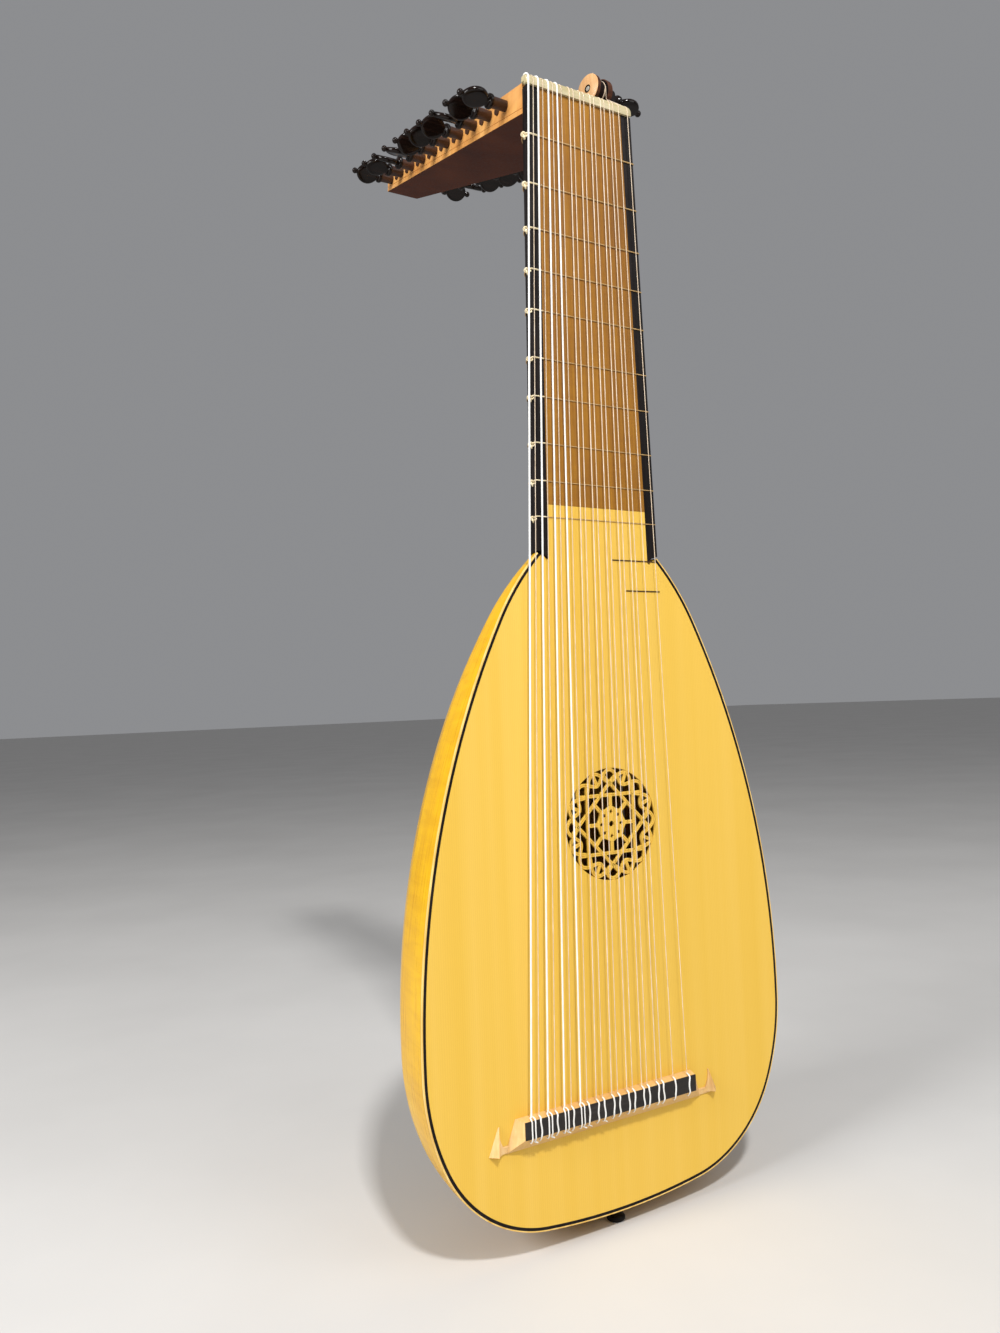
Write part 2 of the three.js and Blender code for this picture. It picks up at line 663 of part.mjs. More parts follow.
// A course is one piece: the tail of one string is tucked under the loop of the other.
function course(number) {
  const own = STRINGS.map((string, index) => index).filter((index) => STRINGS[index].course === number);
  const bars = own.map((index) => bar(stringRoute(index), STRINGS[index].radius));
  if (own.length === 1) return bars[0];
  const [from, to] = own.map((index) => STRINGS[index].saddleX);
  const y = BRIDGE_TOP - 0.65 - GAP;
  const tail = box([from - 0.2, y - 0.25, BRIDGE_Z - 11.3], [to + 0.2, y + 0.3, BRIDGE_Z - 10.6]);
  return unite(...bars, tail);
}

// ---- bridge ----
// Corners in x and z: the lower pair, then the upper pair, treble to bass.
const BRIDGE_BASE = [[-96.5, 62], [69.5, 62], [61.5, 82.2], [-88.5, 82.2]];
const BRIDGE_FACE = [[-86, 70.2], [59.3, 70.2], [59.3, 81.6], [-86, 81.6]];

function bridge() {
  const ring = (corners, y) => corners.map(([x, z]) => at(x, y, z));
  const main = loft([ring(BRIDGE_BASE, -GAP), ring(BRIDGE_BASE, -0.8), ring(BRIDGE_FACE, BRIDGE_TOP)]);
  const horn = (side, end) => {
    const x = (inward) => end - side * inward;
    const shape = new THREE.Shape();
    shape.moveTo(x(20), 62.2);
    shape.lineTo(x(0), 62.6);
    shape.lineTo(x(7), 80);
    shape.quadraticCurveTo(x(4.6), 66.4, x(9), 66);
    shape.lineTo(x(20), 66.5);
    return plate(shape, -GAP - 2.6, 2.6, 5);
  };
  return unite(main, horn(-1, -109), horn(1, 86));
}

// ---- end clasp and strap button ----
// The strip that covers the ribs' ends: it follows the bowl's bottom, seen as a height over x and y.
function bottomZ(x, y) {
  const radius = OUTLINE_ARCS[0][0];
  return radius - Math.sqrt(radius ** 2 - x ** 2 - (y / BOWL_DEPTH_RATIO) ** 2);
}

function endClasp() {
  const { front, slope, back, halfLength, flat } = CLASP;
  const rings = [-halfLength, -38, -19, -flat, flat, 19, 38, halfLength].map((x) => {
    const curve = Math.abs(x) === flat ? 0 : 1;
    const thickness = THREE.MathUtils.lerp(...CLASP.thickness, Math.abs(x) / halfLength);
    const under = (y, thick) => at(x, y, curve * bottomZ(x, y) - thick);
    const over = (y) => at(x, y, bottomZ(x, y) * 0.98 - GAP - 0.1);
    return [under(front, 1), under(slope, thickness), under(back, thickness), over(back), over(front)];
  });
  return loft(rings);
}

function strapButton() {
  const top = -CLASP.thickness[0] - GAP;
  const profile = [
    [0, BUTTON_END_Z],
    [5.6, BUTTON_END_Z],
    [6.6, BUTTON_END_Z + 1.2],
    [6.6, BUTTON_END_Z + 3],
    [3.4, BUTTON_END_Z + 5.2],
    [4.2, top],
    [0, top],
  ].map(([r, z]) => new THREE.Vector2(r, z));
  return new THREE.LatheGeometry(profile, 20).rotateX(Math.PI / 2).translate(0, BUTTON_Y, 0);
}

// ---- assembly ----
const lute = new THREE.Group();

function addPiece(name, geometry, material) {
  const mesh = new THREE.Mesh(geometry, material.clone());
  mesh.name = name;
  lute.add(mesh);
}

addPiece("soundboard", soundboard(), SPRUCE);
addPiece("soundboard_bar_upper", soundboardBar(335), PALE_WOOD);
addPiece("soundboard_bar_lower", soundboardBar(190), PALE_WOOD);
addPiece("bridge", bridge(), PALE_WOOD);
addPiece("neck", neck(), EBONY);
addPiece("neck_block", neckBlock(), PALE_WOOD);
addPiece("fingerboard", fingerboard(), FINGERBOARD_WOOD);
addPiece("fingerboard_edge_bass", edgeStrip(-1), EBONY);
addPiece("fingerboard_edge_treble", edgeStrip(1), EBONY);
addPiece("nut", nut(), BONE);
addPiece("pegbox_cheek_bass", cheek(-1, PEGS), PEGBOX_WOOD);
addPiece("pegbox_cheek_treble", cheek(1, PEGS), PEGBOX_WOOD);
addPiece("pegbox_back", pegboxBack(), PEGBOX_WOOD);
addPiece("pegbox_end", pegboxEnd(), PEGBOX_WOOD);
addPiece("rider_post", riderPost(), EBONY);
addPiece("rider_spool", riderSpool(), PEGBOX_WOOD);
addPiece("end_clasp", endClasp(), MAPLE);
addPiece("strap_button", strapButton(), EBONY);
for (let i = 0; i < RIBS; i++) addPiece(`rib_${String(i + 1).padStart(2, "0")}`, rib(i), MAPLE);
for (const entry of PEGS) addPiece(entry.name, peg(entry), PEG_WOOD);
addPiece("peg_treble_01", riderPeg(), PEG_WOOD);
for (let i = 0; i < COURSES; i++) {
  addPiece(`course_${String(COURSES - i).padStart(2, "0")}`, course(i), GUT);
}

lute.position.set(0, -BUTTON_Y, -BUTTON_END_Z);

export default lute;
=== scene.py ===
"""An eleven-course lute with a bent-back pegbox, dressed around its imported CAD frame.

Shapes are worked out in millimetres in the lute's own frame: x = 0 is the centre line, +x is the
treble side, y = 0 is the front of the soundboard, +y goes to the back, and z = 0 is the bottom edge
of the soundboard. place() turns those into the row frame's metres.
"""

from math import asin, atan, atan2, ceil, copysign, cos, hypot, pi, radians, sin, sqrt, tan

import bmesh
import bpy
import numpy as np
from mathutils import Matrix, Vector


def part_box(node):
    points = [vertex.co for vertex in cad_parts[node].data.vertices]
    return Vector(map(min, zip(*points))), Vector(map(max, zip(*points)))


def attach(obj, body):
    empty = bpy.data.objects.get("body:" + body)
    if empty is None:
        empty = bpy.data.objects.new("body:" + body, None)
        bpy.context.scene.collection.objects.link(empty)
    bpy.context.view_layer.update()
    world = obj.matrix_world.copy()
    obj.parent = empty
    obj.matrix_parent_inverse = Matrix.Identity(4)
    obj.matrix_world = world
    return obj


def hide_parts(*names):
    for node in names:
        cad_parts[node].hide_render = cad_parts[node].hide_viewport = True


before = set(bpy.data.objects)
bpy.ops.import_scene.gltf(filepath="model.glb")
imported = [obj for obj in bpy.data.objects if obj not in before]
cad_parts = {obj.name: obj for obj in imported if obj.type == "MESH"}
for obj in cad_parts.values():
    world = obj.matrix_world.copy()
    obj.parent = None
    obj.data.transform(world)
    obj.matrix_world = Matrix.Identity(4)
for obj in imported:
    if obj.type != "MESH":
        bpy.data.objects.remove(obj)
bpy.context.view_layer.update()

# ---- driving dimensions, in millimetres, as in the CAD source ----
MM = 0.001
GAP = 0.3
NUT_Z = 781.8
BRIDGE_Z = 81.8
JOINT_Z = 454
OUTLINE_ARCS = [(512, 7.4), (95, 57.9), (152, 23.9), (606, 28.4), (187, 16.9)]  # radius, degrees
RIBS = 11
RIB_THICKNESS = 1.6
RIB_START = 14
BOWL_DEPTH_RATIO = 0.95
BOWL_JOINT_DEPTH = 27
BOWL_TAPER_START_Z = 320
BOARD_THICKNESS = 1.8
ROSE_CENTRE = (0.7, 265)
ROSE_RADIUS = 39
NECK_HALF = (53, 46)  # at the body and at the nut
NECK_DEPTH = (27, 23)
NECK_FRONT = 2.5
FINGERBOARD_THICKNESS = 2.2
FINGERBOARD_END_Z = 487.5
EDGE_STRIP_WIDTH = 9.3
EDGE_POINT_Z = 450
NUT_HEIGHT = 8.4
NUT_FRONT = -1.7
PEGBOX_ANGLE = radians(13.14)
PEGBOX_LENGTH = 280
PEGBOX_ROOT_Y = 6.6
PEGBOX_TOP_Z = NUT_Z + 4.5
PEGBOX_DEPTH = (21, 12.5)
PEGBOX_HALF = (44.9, 15.6)
CHEEK_THICKNESS = 6.5
PEGBOX_BACK_THICKNESS = 4
PEGBOX_END_LENGTH = 7
PEGS_PER_SIDE = 10
BASS_PEG_START = 25.5
TREBLE_PEG_START = 39
PEG_PITCH = 27
PEG_AXIS_SHARE = 0.52
PEG_TIP_RADIUS = 2.9
PEG_COLLAR_RADIUS = 3.9
PEG_STEM = 11.5  # the shaft shows this far between the cheek and the collar
PEG_COLLAR_END = 16
PEG_BALL_MIDDLE = 37.7
THUMB_MIDDLE = 25.3
PEG_TURNS = [105, 145, 62, 140, 130, 155, 70, 60, 110, 135]
WINDING_SHARE = 0.62
RIDER = (40.6, 19.6, NUT_Z + 23.8)
RIDER_SWING = radians(9)
RIDER_TURN = 80
RIDER_POST = (5.6, 6.5)  # thickness and radius
SPOOL_RADIUS = 10.6
SPOOL_LENGTH = 16.5
SPOOL_END = -4.2
DRUM_RADIUS = 8.2
CLASP = {"front": 2.2, "slope": 6.4, "back": 27, "half": 56, "flat": 7, "thickness": (2.5, 1.2)}
BUTTON_Y = 14
BUTTON_END_Z = -12
PAIRS = 9  # the last two courses are single strings
COURSE_NUT_X = [-43.2, -35.2, -26.7, -19.3, -8.7, 0.5, 9.5, 18.8, 27, 33.7, 41.9]
COURSE_SADDLE_START = -77
COURSE_SADDLE_PITCH = 13
PAIR_GAP_NUT = (4, 3)  # in the lowest and in the highest pair
PAIR_GAP_SADDLE = (5.9, 4.6)
COURSE_RADIUS = [0.65, 0.65, 0.62, 0.6, 0.4, 0.4, 0.36, 0.34, 0.32, 0.28, 0.25]
OCTAVE_RADIUS = 0.3
BRIDGE_TOP = -9
BRIDGE_BASE = [(-96.5, 62), (69.5, 62), (61.5, 82.2), (-88.5, 82.2)]
BRIDGE_HORNS = [(-1, (-109, 62.6), (-101.5, 80)), (1, (86, 63.5), (78.9, 79.5))]  # side, foot and tip
BRIDGE_LINKS = [(-101, -92), (66, 79)]  # from x to x
BRIDGE_FACE = [(-86, 70.2), (59.3, 70.2), (59.3, 81.6), (-86, 81.6)]
FRET_DISTANCES = [35.1, 70.3, 102.0, 131.0, 159.4, 193.0, 219.8, 252.2, 278.3, 303.2]
BODY_FRETS = [(330.7, 11.3, 51.3), (352.5, 22.8, 53.5)]  # distance from the nut, and both ends' x

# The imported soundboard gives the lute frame's place in the row frame.
board_low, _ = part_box("soundboard")
ORIGIN = np.array((0, board_low.y, board_low.z - 0.1 * MM))


def place(points):
    """Points in the lute frame's millimetres, in the row frame's metres."""
    return np.asarray(points, float) * MM + ORIGIN


def put(name, data):
    """A new object in the scene."""
    thing = bpy.data.objects.new(name, data)
    bpy.context.scene.collection.objects.link(thing)
    return thing


# ---- camera ----
def aim_camera():
    yaw, pitch, roll = (radians(a) for a in (31.667, 2.135, -2.268))
    ahead = Vector((sin(yaw) * cos(pitch), cos(yaw) * cos(pitch), sin(pitch)))
    level = Vector((cos(yaw), -sin(yaw), 0))
    lifted = level.cross(ahead)
    right = cos(roll) * level + sin(roll) * lifted
    up = cos(roll) * lifted - sin(roll) * level
    camera = put("camera", bpy.data.cameras.new("camera"))
    camera.data.sensor_width = 36
    camera.data.lens = 28.355
    turn = Matrix((right, up, -ahead)).transposed().to_4x4()
    camera.matrix_world = Matrix.Translation((-0.45015, -0.60423, 0.36266)) @ turn
    camera.data.clip_start = 0.01
    bpy.context.scene.camera = camera


aim_camera()


# ---- materials ----
RELIEF = 0.00003  # metres
COAT_ROUGHNESS = 0.08


def tone(code):
    """A linear colour from an sRGB code such as "e0a040"."""
    parts = [int(code[i : i + 2], 16) / 255 for i in (0, 2, 4)]
    return [c / 12.92 if c <= 0.04045 else ((c + 0.055) / 1.055) ** 2.4 for c in parts] + [1]


class Graph:
    """One procedural material, built node by node."""

    def __init__(self, name, roughness, specular=0.5, coat=0.0):
        self.material = bpy.data.materials.new(name)
        self.material.use_nodes = True
        self.tree = self.material.node_tree
        self.shader = self.tree.nodes["Principled BSDF"]
        sockets = ("Roughness", "Specular IOR Level", "Coat Weight", "Coat Roughness")
        for socket, value in zip(sockets, (roughness, specular, coat, COAT_ROUGHNESS)):
            self.shader.inputs[socket].default_value = value

    def node(self, kind, links={}, **values):
        made = self.tree.nodes.new("ShaderNode" + kind)
        for key, value in values.items():
            if hasattr(made, key):
                setattr(made, key, value)
            else:
                made.inputs[key.replace("_", " ")].default_value = value
        for socket, source in links.items():
            self.tree.links.new(source, made.inputs[socket])
        return made

    def coordinates(self, scale, source="Object"):
        """The surface's own coordinates, in metres, stretched by scale."""
        where = self.node("TexCoord").outputs[source]
        return self.node("Mapping", {"Vector": where}, Scale=scale).outputs["Vector"]

    def noise(self, scale, source="Object", detail=4.0, roughness=0.55, distortion=0.0):
        vector = self.coordinates(scale, source)
        values = {"Detail": detail, "Roughness": roughness, "Distortion": distortion}
        return self.node("TexNoise", {"Vector": vector}, Scale=1.0, **values).outputs["Fac"]

    def ramp(self, factor, *stops):
        """A colour ramp; each stop is a position and an sRGB code."""
        made = self.node("ValToRGB", {"Fac": factor})
        elements = made.color_ramp.elements
        while len(elements) < len(stops):
            elements.new(0.5)
        for element, (position, code) in zip(elements, stops):
            element.position = position
            element.color = tone(code)
        return made.outputs["Color"]

    def mix(self, factor, first, second, blend="MIX"):
        made = self.node("Mix", {6: first, 7: second}, data_type="RGBA", blend_type=blend)
        if isinstance(factor, float):
            made.inputs[0].default_value = factor
        else:
            self.tree.links.new(factor, made.inputs[0])
        return made.outputs[2]

    def grey(self, factor, low, high):
        """A number spread from low to high over the middle of a noise."""
        spread = {"From_Min": 0.3, "From_Max": 0.7, "To_Min": low, "To_Max": high}
        return self.node("MapRange", {"Value": factor}, **spread).outputs["Result"]

    def paint(self, colour, rough=None, height=None):
        """The finished material, with its colour, its roughness and its fine relief."""
        self.tree.links.new(colour, self.shader.inputs["Base Color"])
        if rough:
            self.tree.links.new(rough, self.shader.inputs["Roughness"])
            bump = self.node("Bump", {"Height": height}, Strength=1.0, Distance=RELIEF)
            self.tree.links.new(bump.outputs["Normal"], self.shader.inputs["Normal"])
        return self.material


def spruce():
    """Straight-grained golden top with fine year lines."""
    g = Graph("spruce_top", 0.55, 0.22)
    vector = g.coordinates((1, 1, 0.06))
    wave = g.node("TexWave", {"Vector": vector}, Scale=205.0, Distortion=5.0, Detail=2.0, Detail_Scale=0.4)
    lines = wave.outputs["Fac"]
    stripes = g.noise((60, 60, 0.8), detail=3)
    base = g.ramp(stripes, (0.3, "e4b949"), (0.5, "e6bc4f"), (0.7, "e8bf56"))
    year = g.ramp(lines, (0.0, "d09a3c"), (0.35, "f6e4b8"), (1.0, "ffffff"))
    colour = g.mix(0.085, base, year, "MULTIPLY")
    fibre = g.noise((1400, 1400, 40))
    return g.paint(colour, g.grey(fibre, 0.5, 0.62), g.mix(0.5, lines, fibre))


def figured(name, tones, across, flame, rough, coat, source="Object", specular=0.35):
    """Hardwood. The grain runs along z, or along u; flame is the strength of the bars across it."""
    g = Graph(name, rough, specular, coat)
    scale = lambda along, over: (along, over, 1) if source == "UV" else (over, over, along)
    grain = g.noise(scale(22, across), source, detail=6, roughness=0.62)
    clouds = g.noise(scale(6, 26), source, detail=2)
    bars = g.noise(scale(150, 26), source, detail=2, distortion=0.6)
    colour = g.ramp(g.mix(0.5, grain, clouds), *zip((0.3, 0.5, 0.7), tones.split()))
    colour = g.mix(flame, colour, g.ramp(bars, (0.35, "a86a2c"), (0.6, "ffffff")), "MULTIPLY")
    return g.paint(colour, g.grey(grain, rough - 0.06, rough + 0.08), grain)


ALONG_X = (18, 300, 300)  # noise scales of streaks along x and along z
ALONG_Z = (260, 260, 18)


def dense(name, tones, rough, coat=0.0, scale=ALONG_X, specular=0.35):
    """Ebony, rosewood, bone or gut: a close surface with fine streaks and uneven polish."""
    g = Graph(name, rough, specular, coat)
    streaks = g.noise(scale, detail=5, roughness=0.6)
    polish = g.noise((90, 90, 90), detail=2)
    colour = g.ramp(streaks, *zip((0.32, 0.55, 0.75), tones.split()))
    return g.paint(colour, g.grey(polish, rough - 0.05, rough + 0.1), streaks)


SPRUCE = spruce()
MAPLE = figured("maple_amber", "d09602 e0ac03 eaba08", 420, 0.14, 0.3, 0.06, "UV", 0.2)
PEGBOX_WOOD = figured("pegbox_wood", "cb8a46 de9f56 eab46c", 520, 0.2, 0.42, 0.08)
# Darker brown for the pegbox back's downward face: partly a darker back veneer, partly painted shade of the
# underside.
PEGBOX_UNDERSIDE_VENEER_AND_SHADE = figured("pegbox_back_wood", "3c190a 4c220d 5d2e14", 520, 0.15, 0.5, 0.0, specular=0.1)
FINGERBOARD_WOOD = figured("fingerboard_wood", "7c4e0a 97640f ad7817", 760, 0.1, 0.5, 0.0)
SPOOL_WOOD = figured("spool_pearwood", "b98a5a cda06e dcb384", 500, 0.1, 0.42, 0.05)
BRIDGE_WOOD = figured("bridge_pearwood", "d2a464 deb475 e8c58e", 500, 0.1, 0.42, 0.05)
INSIDE_WOOD = figured("inside_spruce", "c89a58 dcb474 e8c690", 600, 0.1, 0.6, 0.0)
PALE_EDGE = dense("edge_maple", "d9ab52 ecc470 f4d68c", 0.4, 0.0, ALONG_Z)
EBONY = dense("ebony", "100c0b 191413 261f1d", 0.4, 0.0, ALONG_Z, 0.12)
FACE_EBONY = dense("face_ebony", "161312 221d1b 383230", 0.45)
PEG_WOOD = dense("peg_rosewood", "0b0705 150c09 24160f", 0.13, specular=0.2)
PEG_SHAFT = dense("peg_shaft", "25140c 3a2115 51301f", 0.38, 0.03)
# Near-black brown: the raised peg's shaft, and painted shade on the spool's drum and in its bore.
SHAFT_WOOD_AND_DRUM_SHADE = dense("drum_wood", "0c0605 170c08 26150f", 0.45, specular=0.1)
# A darker copy of the spool's pearwood: painted shade on the spool's rims and far flange.
SHADED_SPOOL_WOOD = dense("spool_rim_wood", "3a2015 52301f 6b432c", 0.45, specular=0.15)
BONE = dense("bone", "b0a278 bdb08a cbbf9e", 0.4, 0.04, (30, 200, 200))
FRET_GUT = dense("fret_gut", "a88550 b89661 caaa78", 0.4, 0.08, (500, 500, 500))
KNOT_GUT = dense("knot_gut", "dcc99e ebdcb8 f6ecd2", 0.4, 0.08, (500, 500, 500))
WHITE_GUT = dense("bass_gut", "e2e0da efede8 faf9f6", 0.36, 0.15, (700, 700, 90))
CLEAR_GUT = dense("treble_gut", "c9b296 dcc8ae ecdecb", 0.3, 0.15, (700, 700, 90))
PIN_METAL = dense("pin_grey", "7b766c 9c978b bab6a8", 0.3, 0.1, (300, 300, 300))


# ---- meshes ----
def mesh_of(name, points, faces):
    """A mesh from points in the lute frame."""
    mesh = bpy.data.meshes.new(name)
    mesh.from_pydata([tuple(p) for p in place(points)], [], [tuple(map(int, f)) for f in faces])
    return mesh


def shade(mesh, sharp):
    """Smooth, apart from the edges that turn by more than sharp degrees."""
    mesh.shade_smooth()
    mesh.set_sharp_from_angle(angle=radians(sharp))


def piece_of(name, skin, material, slot, body="lute", replaces=None, sharp=35, bevel=0):
    """One piece from a skin: points in the lute frame, faces, and a UV list for each face."""
    points, faces, uv = skin
    mesh = mesh_of(name, points, faces)
    if uv:
        layer = mesh.uv_layers.new(name="grain")
        layer.data.foreach_set("uv", np.concatenate(uv).astype(np.float32).ravel())
    shade(mesh, sharp)
    piece = put(name, mesh)
    for one in material if isinstance(material, list) else [material]:
        mesh.materials.append(one)
    if bevel:
        bevelled(piece, bevel)
    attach(piece, body)
    if replaces:
        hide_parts(replaces)
    return piece


def gut_piece(name, skin, material, **options):
    return piece_of(name, skin, material, "gut_strings", sharp=60, **options)


def loft(rings, looped=False):
    """A closed skin through equal rings: points, faces and UV, where u runs from ring to ring."""
    rings = np.asarray(rings, float)
    count, size = rings.shape[:2]
    points = rings.reshape(-1, 3)
    middle = rings[count // 2]
    around = np.concatenate([[0], np.cumsum(np.linalg.norm(np.roll(middle, -1, 0) - middle, axis=1))]) * MM
    steps = np.linalg.norm(np.diff(rings.mean(1), axis=0), axis=1)
    along = np.concatenate([[0], np.cumsum(steps)]) * MM
    along = np.append(along, along[-1] + (steps[-1] * MM if looped else 0))
    faces, uv = [], []
    for i in range(count if looped else count - 1):
        n = (i + 1) % count
        for j in range(size):
            k = (j + 1) % size
            faces.append((i * size + j, i * size + k, n * size + k, n * size + j))
            corners = ((i, j), (i, j + 1), (i + 1, j + 1), (i + 1, j))
            uv.append([(along[a], around[b]) for a, b in corners])
    if not looped:
        last = (count - 1) * size
        faces.append(tuple(range(size - 1, -1, -1)))
        faces.append(tuple(range(last, last + size)))
        uv.append([(along[0], v) for v in around[size - 1 :: -1]])
        uv.append([(along[count - 1], v) for v in around[:size]])
    volume = 0.0
    for face in faces:
        for b, c in zip(face[1:], face[2:]):
            volume += np.dot(points[face[0]], np.cross(points[b], points[c]))
    if volume < 0:  # the faces point inwards
        faces = [face[::-1] for face in faces]
        uv = [corners[::-1] for corners in uv]
    return points, faces, uv


def joined(*parts):
    """Several skins as one."""
    points, faces, uv, offset = [], [], [], 0
    for part_points, part_faces, part_uv in parts:
        points.append(part_points)
        faces += [tuple(i + offset for i in face) for face in part_faces]
        uv += part_uv
        offset += len(part_points)
    return np.concatenate(points), faces, uv


def unit(vector):
    return vector / np.linalg.norm(vector)


def headings(path, looped):
    """At each point of a path, the way on, and the mean of the ways in and on."""
    ahead = np.roll(path, -1, 0) - path
    behind = path - np.roll(path, 1, 0)
    if not looped:
        ahead[-1] = behind[-1]
        behind[0] = ahead[0]
    onward = [unit(a) for a in ahead]
    return onward, [unit(a + unit(b)) for a, b in zip(onward, behind)]


def tube(path, radius, sides=8, looped=False):
    """A round bar along a path, turned as little as possible from point to point."""
    path = np.asarray(path, float)
    _, tangents = headings(path, looped)
    helper = (0, 0, 1) if abs(tangents[0][2]) < 0.8 else (1, 0, 0)
    normal = unit(np.cross(tangents[0], helper))
    angles = 2 * pi * np.arange(sides) / sides
    cosines, sines = np.cos(angles)[:, None], np.sin(angles)[:, None]
    rings = []
    for point, tangent in zip(path, tangents):
        normal = unit(normal - tangent * np.dot(normal, tangent))
        other = np.cross(tangent, normal)
        rings.append(point + radius * (cosines * normal + sines * other))
    return loft(rings, looped)


def bend(start, handle, end, steps=10):
    """Points on the curve that leaves start towards handle, and reaches end from it."""
    start, handle, end = (np.asarray(p, float) for p in (start, handle, end))
    shares = np.linspace(0, 1, steps)
    return [(1 - t) ** 2 * start + 2 * t * (1 - t) * handle + t * t * end for t in shares]


def rounded(points, reach, steps=5):
    """A path whose corners are rounded off over reach millimetres each side."""
    points = [np.asarray(p, float) for p in points]
    path = [points[0]]
    for before, corner, after in zip(points, points[1:], points[2:]):
        legs = (before - corner, after - corner)
        start, end = (corner + leg * min(0.45, reach / np.linalg.norm(leg)) for leg in legs)
        path += bend(start, corner, end, steps)
    path.append(points[-1])
    return np.array(path)


def turned(profile, sides=48, looped=False):
    """A skin turned about z from (radius, z) pairs, closed on the axis unless it is looped."""
    angles = 2 * pi * np.arange(sides) / sides
    return loft([[(r * cos(a), r * sin(a), z) for a in angles] for r, z in profile], looped)


def moved(skin, matrix):
    """A skin with its points through a 4 by 4 matrix."""
    points, faces, uv = skin
    grid = np.array(matrix)
    return np.asarray(points) @ grid[:3, :3].T + grid[:3, 3], faces, uv


def baked(thing):
    """The mesh of an object with its modifiers or its curve settings applied."""
    bpy.context.view_layer.update()
    return bpy.data.meshes.new_from_object(thing.evaluated_get(bpy.context.evaluated_depsgraph_get()))


def plate(name, outlines, material, slot, bevel, front=0, back=BOARD_THICKNESS, **options):
    """A flat board from outlines of (x, z) pairs, the first the rim and the others holes."""
    curve = bpy.data.curves.new(name + "_outline", "CURVE")
    curve.dimensions = "2D"
    curve.fill_mode = "BOTH"
    curve.extrude = (back - front) / 2 - bevel
    curve.bevel_depth = bevel
    curve.bevel_resolution = 1
    curve.offset = -bevel
    for outline in outlines:
        spline = curve.splines.new("POLY")
        spline.points.add(len(outline) - 1)
        spline.points.foreach_set("co", [v for x, z in outline for v in (x, z, 0, 1)])
        spline.use_cyclic_u = True
    holder = put(name + "_outline", curve)
    flat = baked(holder)
    bpy.data.objects.remove(holder)
    made = bmesh.new()
    made.from_mesh(flat)
    bpy.data.meshes.remove(flat)
    bmesh.ops.remove_doubles(made, verts=made.verts, dist=0.001)
    bmesh.ops.recalc_face_normals(made, faces=made.faces)
    made.verts.index_update()
    middle = (front + back) / 2
    points = [(v.co.x, middle - v.co.z, v.co.y) for v in made.verts]
    faces = [[v.index for v in f.verts] for f in made.faces]
    made.free()
    board = piece_of(name, (points, faces, None), material, slot, **options)
    for polygon in board.data.polygons:
        polygon.use_smooth = abs(polygon.normal.y) < 0.999


def bevelled(piece, width):
    soft = piece.modifiers.new("edges", "BEVEL")
    soft.width = width * MM
    soft.segments = 2
    soft.limit_method = "ANGLE"
    soft.angle_limit = radians(40)
    soft.harden_normals = True


def drilled(piece, cutters):
    """Cuts a skin out of a piece."""
    tool = put("bores", mesh_of("bores", *cutters[:2]))
    cut = piece.modifiers.new("bores", "BOOLEAN")
    cut.object = tool
    cut.solver = "EXACT"
    done = baked(piece)
    piece.modifiers.clear()
    piece.data = done
    shade(done, 30)
    bpy.data.objects.remove(tool)


# ---- the body's outline and its bowl ----
def outline_stations(degrees_a_step):
    """Half width, height and heading up the half outline, from the bottom centre."""
    stations = [(0.0, 0.0, 0.0)]
    for radius, degrees in OUTLINE_ARCS:
        half, z, heading = stations[-1]
        sweep = radians(degrees)
        centre = (half - radius * sin(heading), z + radius * cos(heading))
        steps = ceil(degrees / degrees_a_step)
        for k in range(1, steps + 1):
            turn = heading + sweep * k / steps
            across, up = radius * sin(turn), radius * cos(turn)
            stations.append((centre[0] + across, centre[1] - up, turn))
    return stations


STATIONS = outline_stations(1.2)


def inset(station, distance):
    half, z, heading = station
    return half - distance * sin(heading), z + distance * cos(heading)


def half_outline(distance):
    """The treble half of the outline, moved in by a distance."""
    return [inset(station, distance) for station in STATIONS]


def bar(section, ends):
    """A bar across the lute: a section of (y, z) pairs between two values of x."""
    return loft([[(x, y, z) for y, z in section] for x in ends])


def mirrored(points):
    """The same points on the other side, in the other order."""
    return [(-x, z) for x, z in points[::-1]]


def between(low, high, share):
    return low + (high - low) * share


def signed_power(value, power):
    return copysign(abs(value) ** power, value)


def smooth_step(value, low, high):
    t = min(max((value - low) / (high - low), 0), 1)
    return t * t * (3 - 2 * t)


def bowl_power(z):
    return 2 / (2 + 0.35 * smooth_step(z, BOWL_TAPER_START_Z, JOINT_Z))


def bowl_depth(half, z):
    excess = BOWL_DEPTH_RATIO * NECK_HALF[0] - BOWL_JOINT_DEPTH
    return BOWL_DEPTH_RATIO * half - excess * smooth_step(z, BOWL_TAPER_START_Z, JOINT_Z)


def bowl_point(station, angle, inward=0.0):
    half, z, heading = station
    depth = bowl_depth(half, z) - inward * sin(heading)
    power = bowl_power(z)
    inner, height = inset(station, inward)
    x = -inner * signed_power(cos(angle), power)
    return np.array((x, depth * sin(angle) ** power, height))


RIB_STEPS = 6
RIB_BULGE = 0.4  # share of the way from flat across to fully round
RIB_SEAM = 0.06  # half the gap between two ribs
RIB_EASE = (0.02, 0.0625)  # the long edges are eased so far, across and inwards


def rib_row(station, start, end, inward):
    """Points across a rib, from one seam to the next."""
    first, last = bowl_point(station, start, inward), bowl_point(station, end, inward)
    row = []
    for t in np.linspace(0, 1, RIB_STEPS + 1):
        full = bowl_point(station, between(start, end, t), inward)
        row.append(between(between(first, last, t), full, RIB_BULGE))
    return row


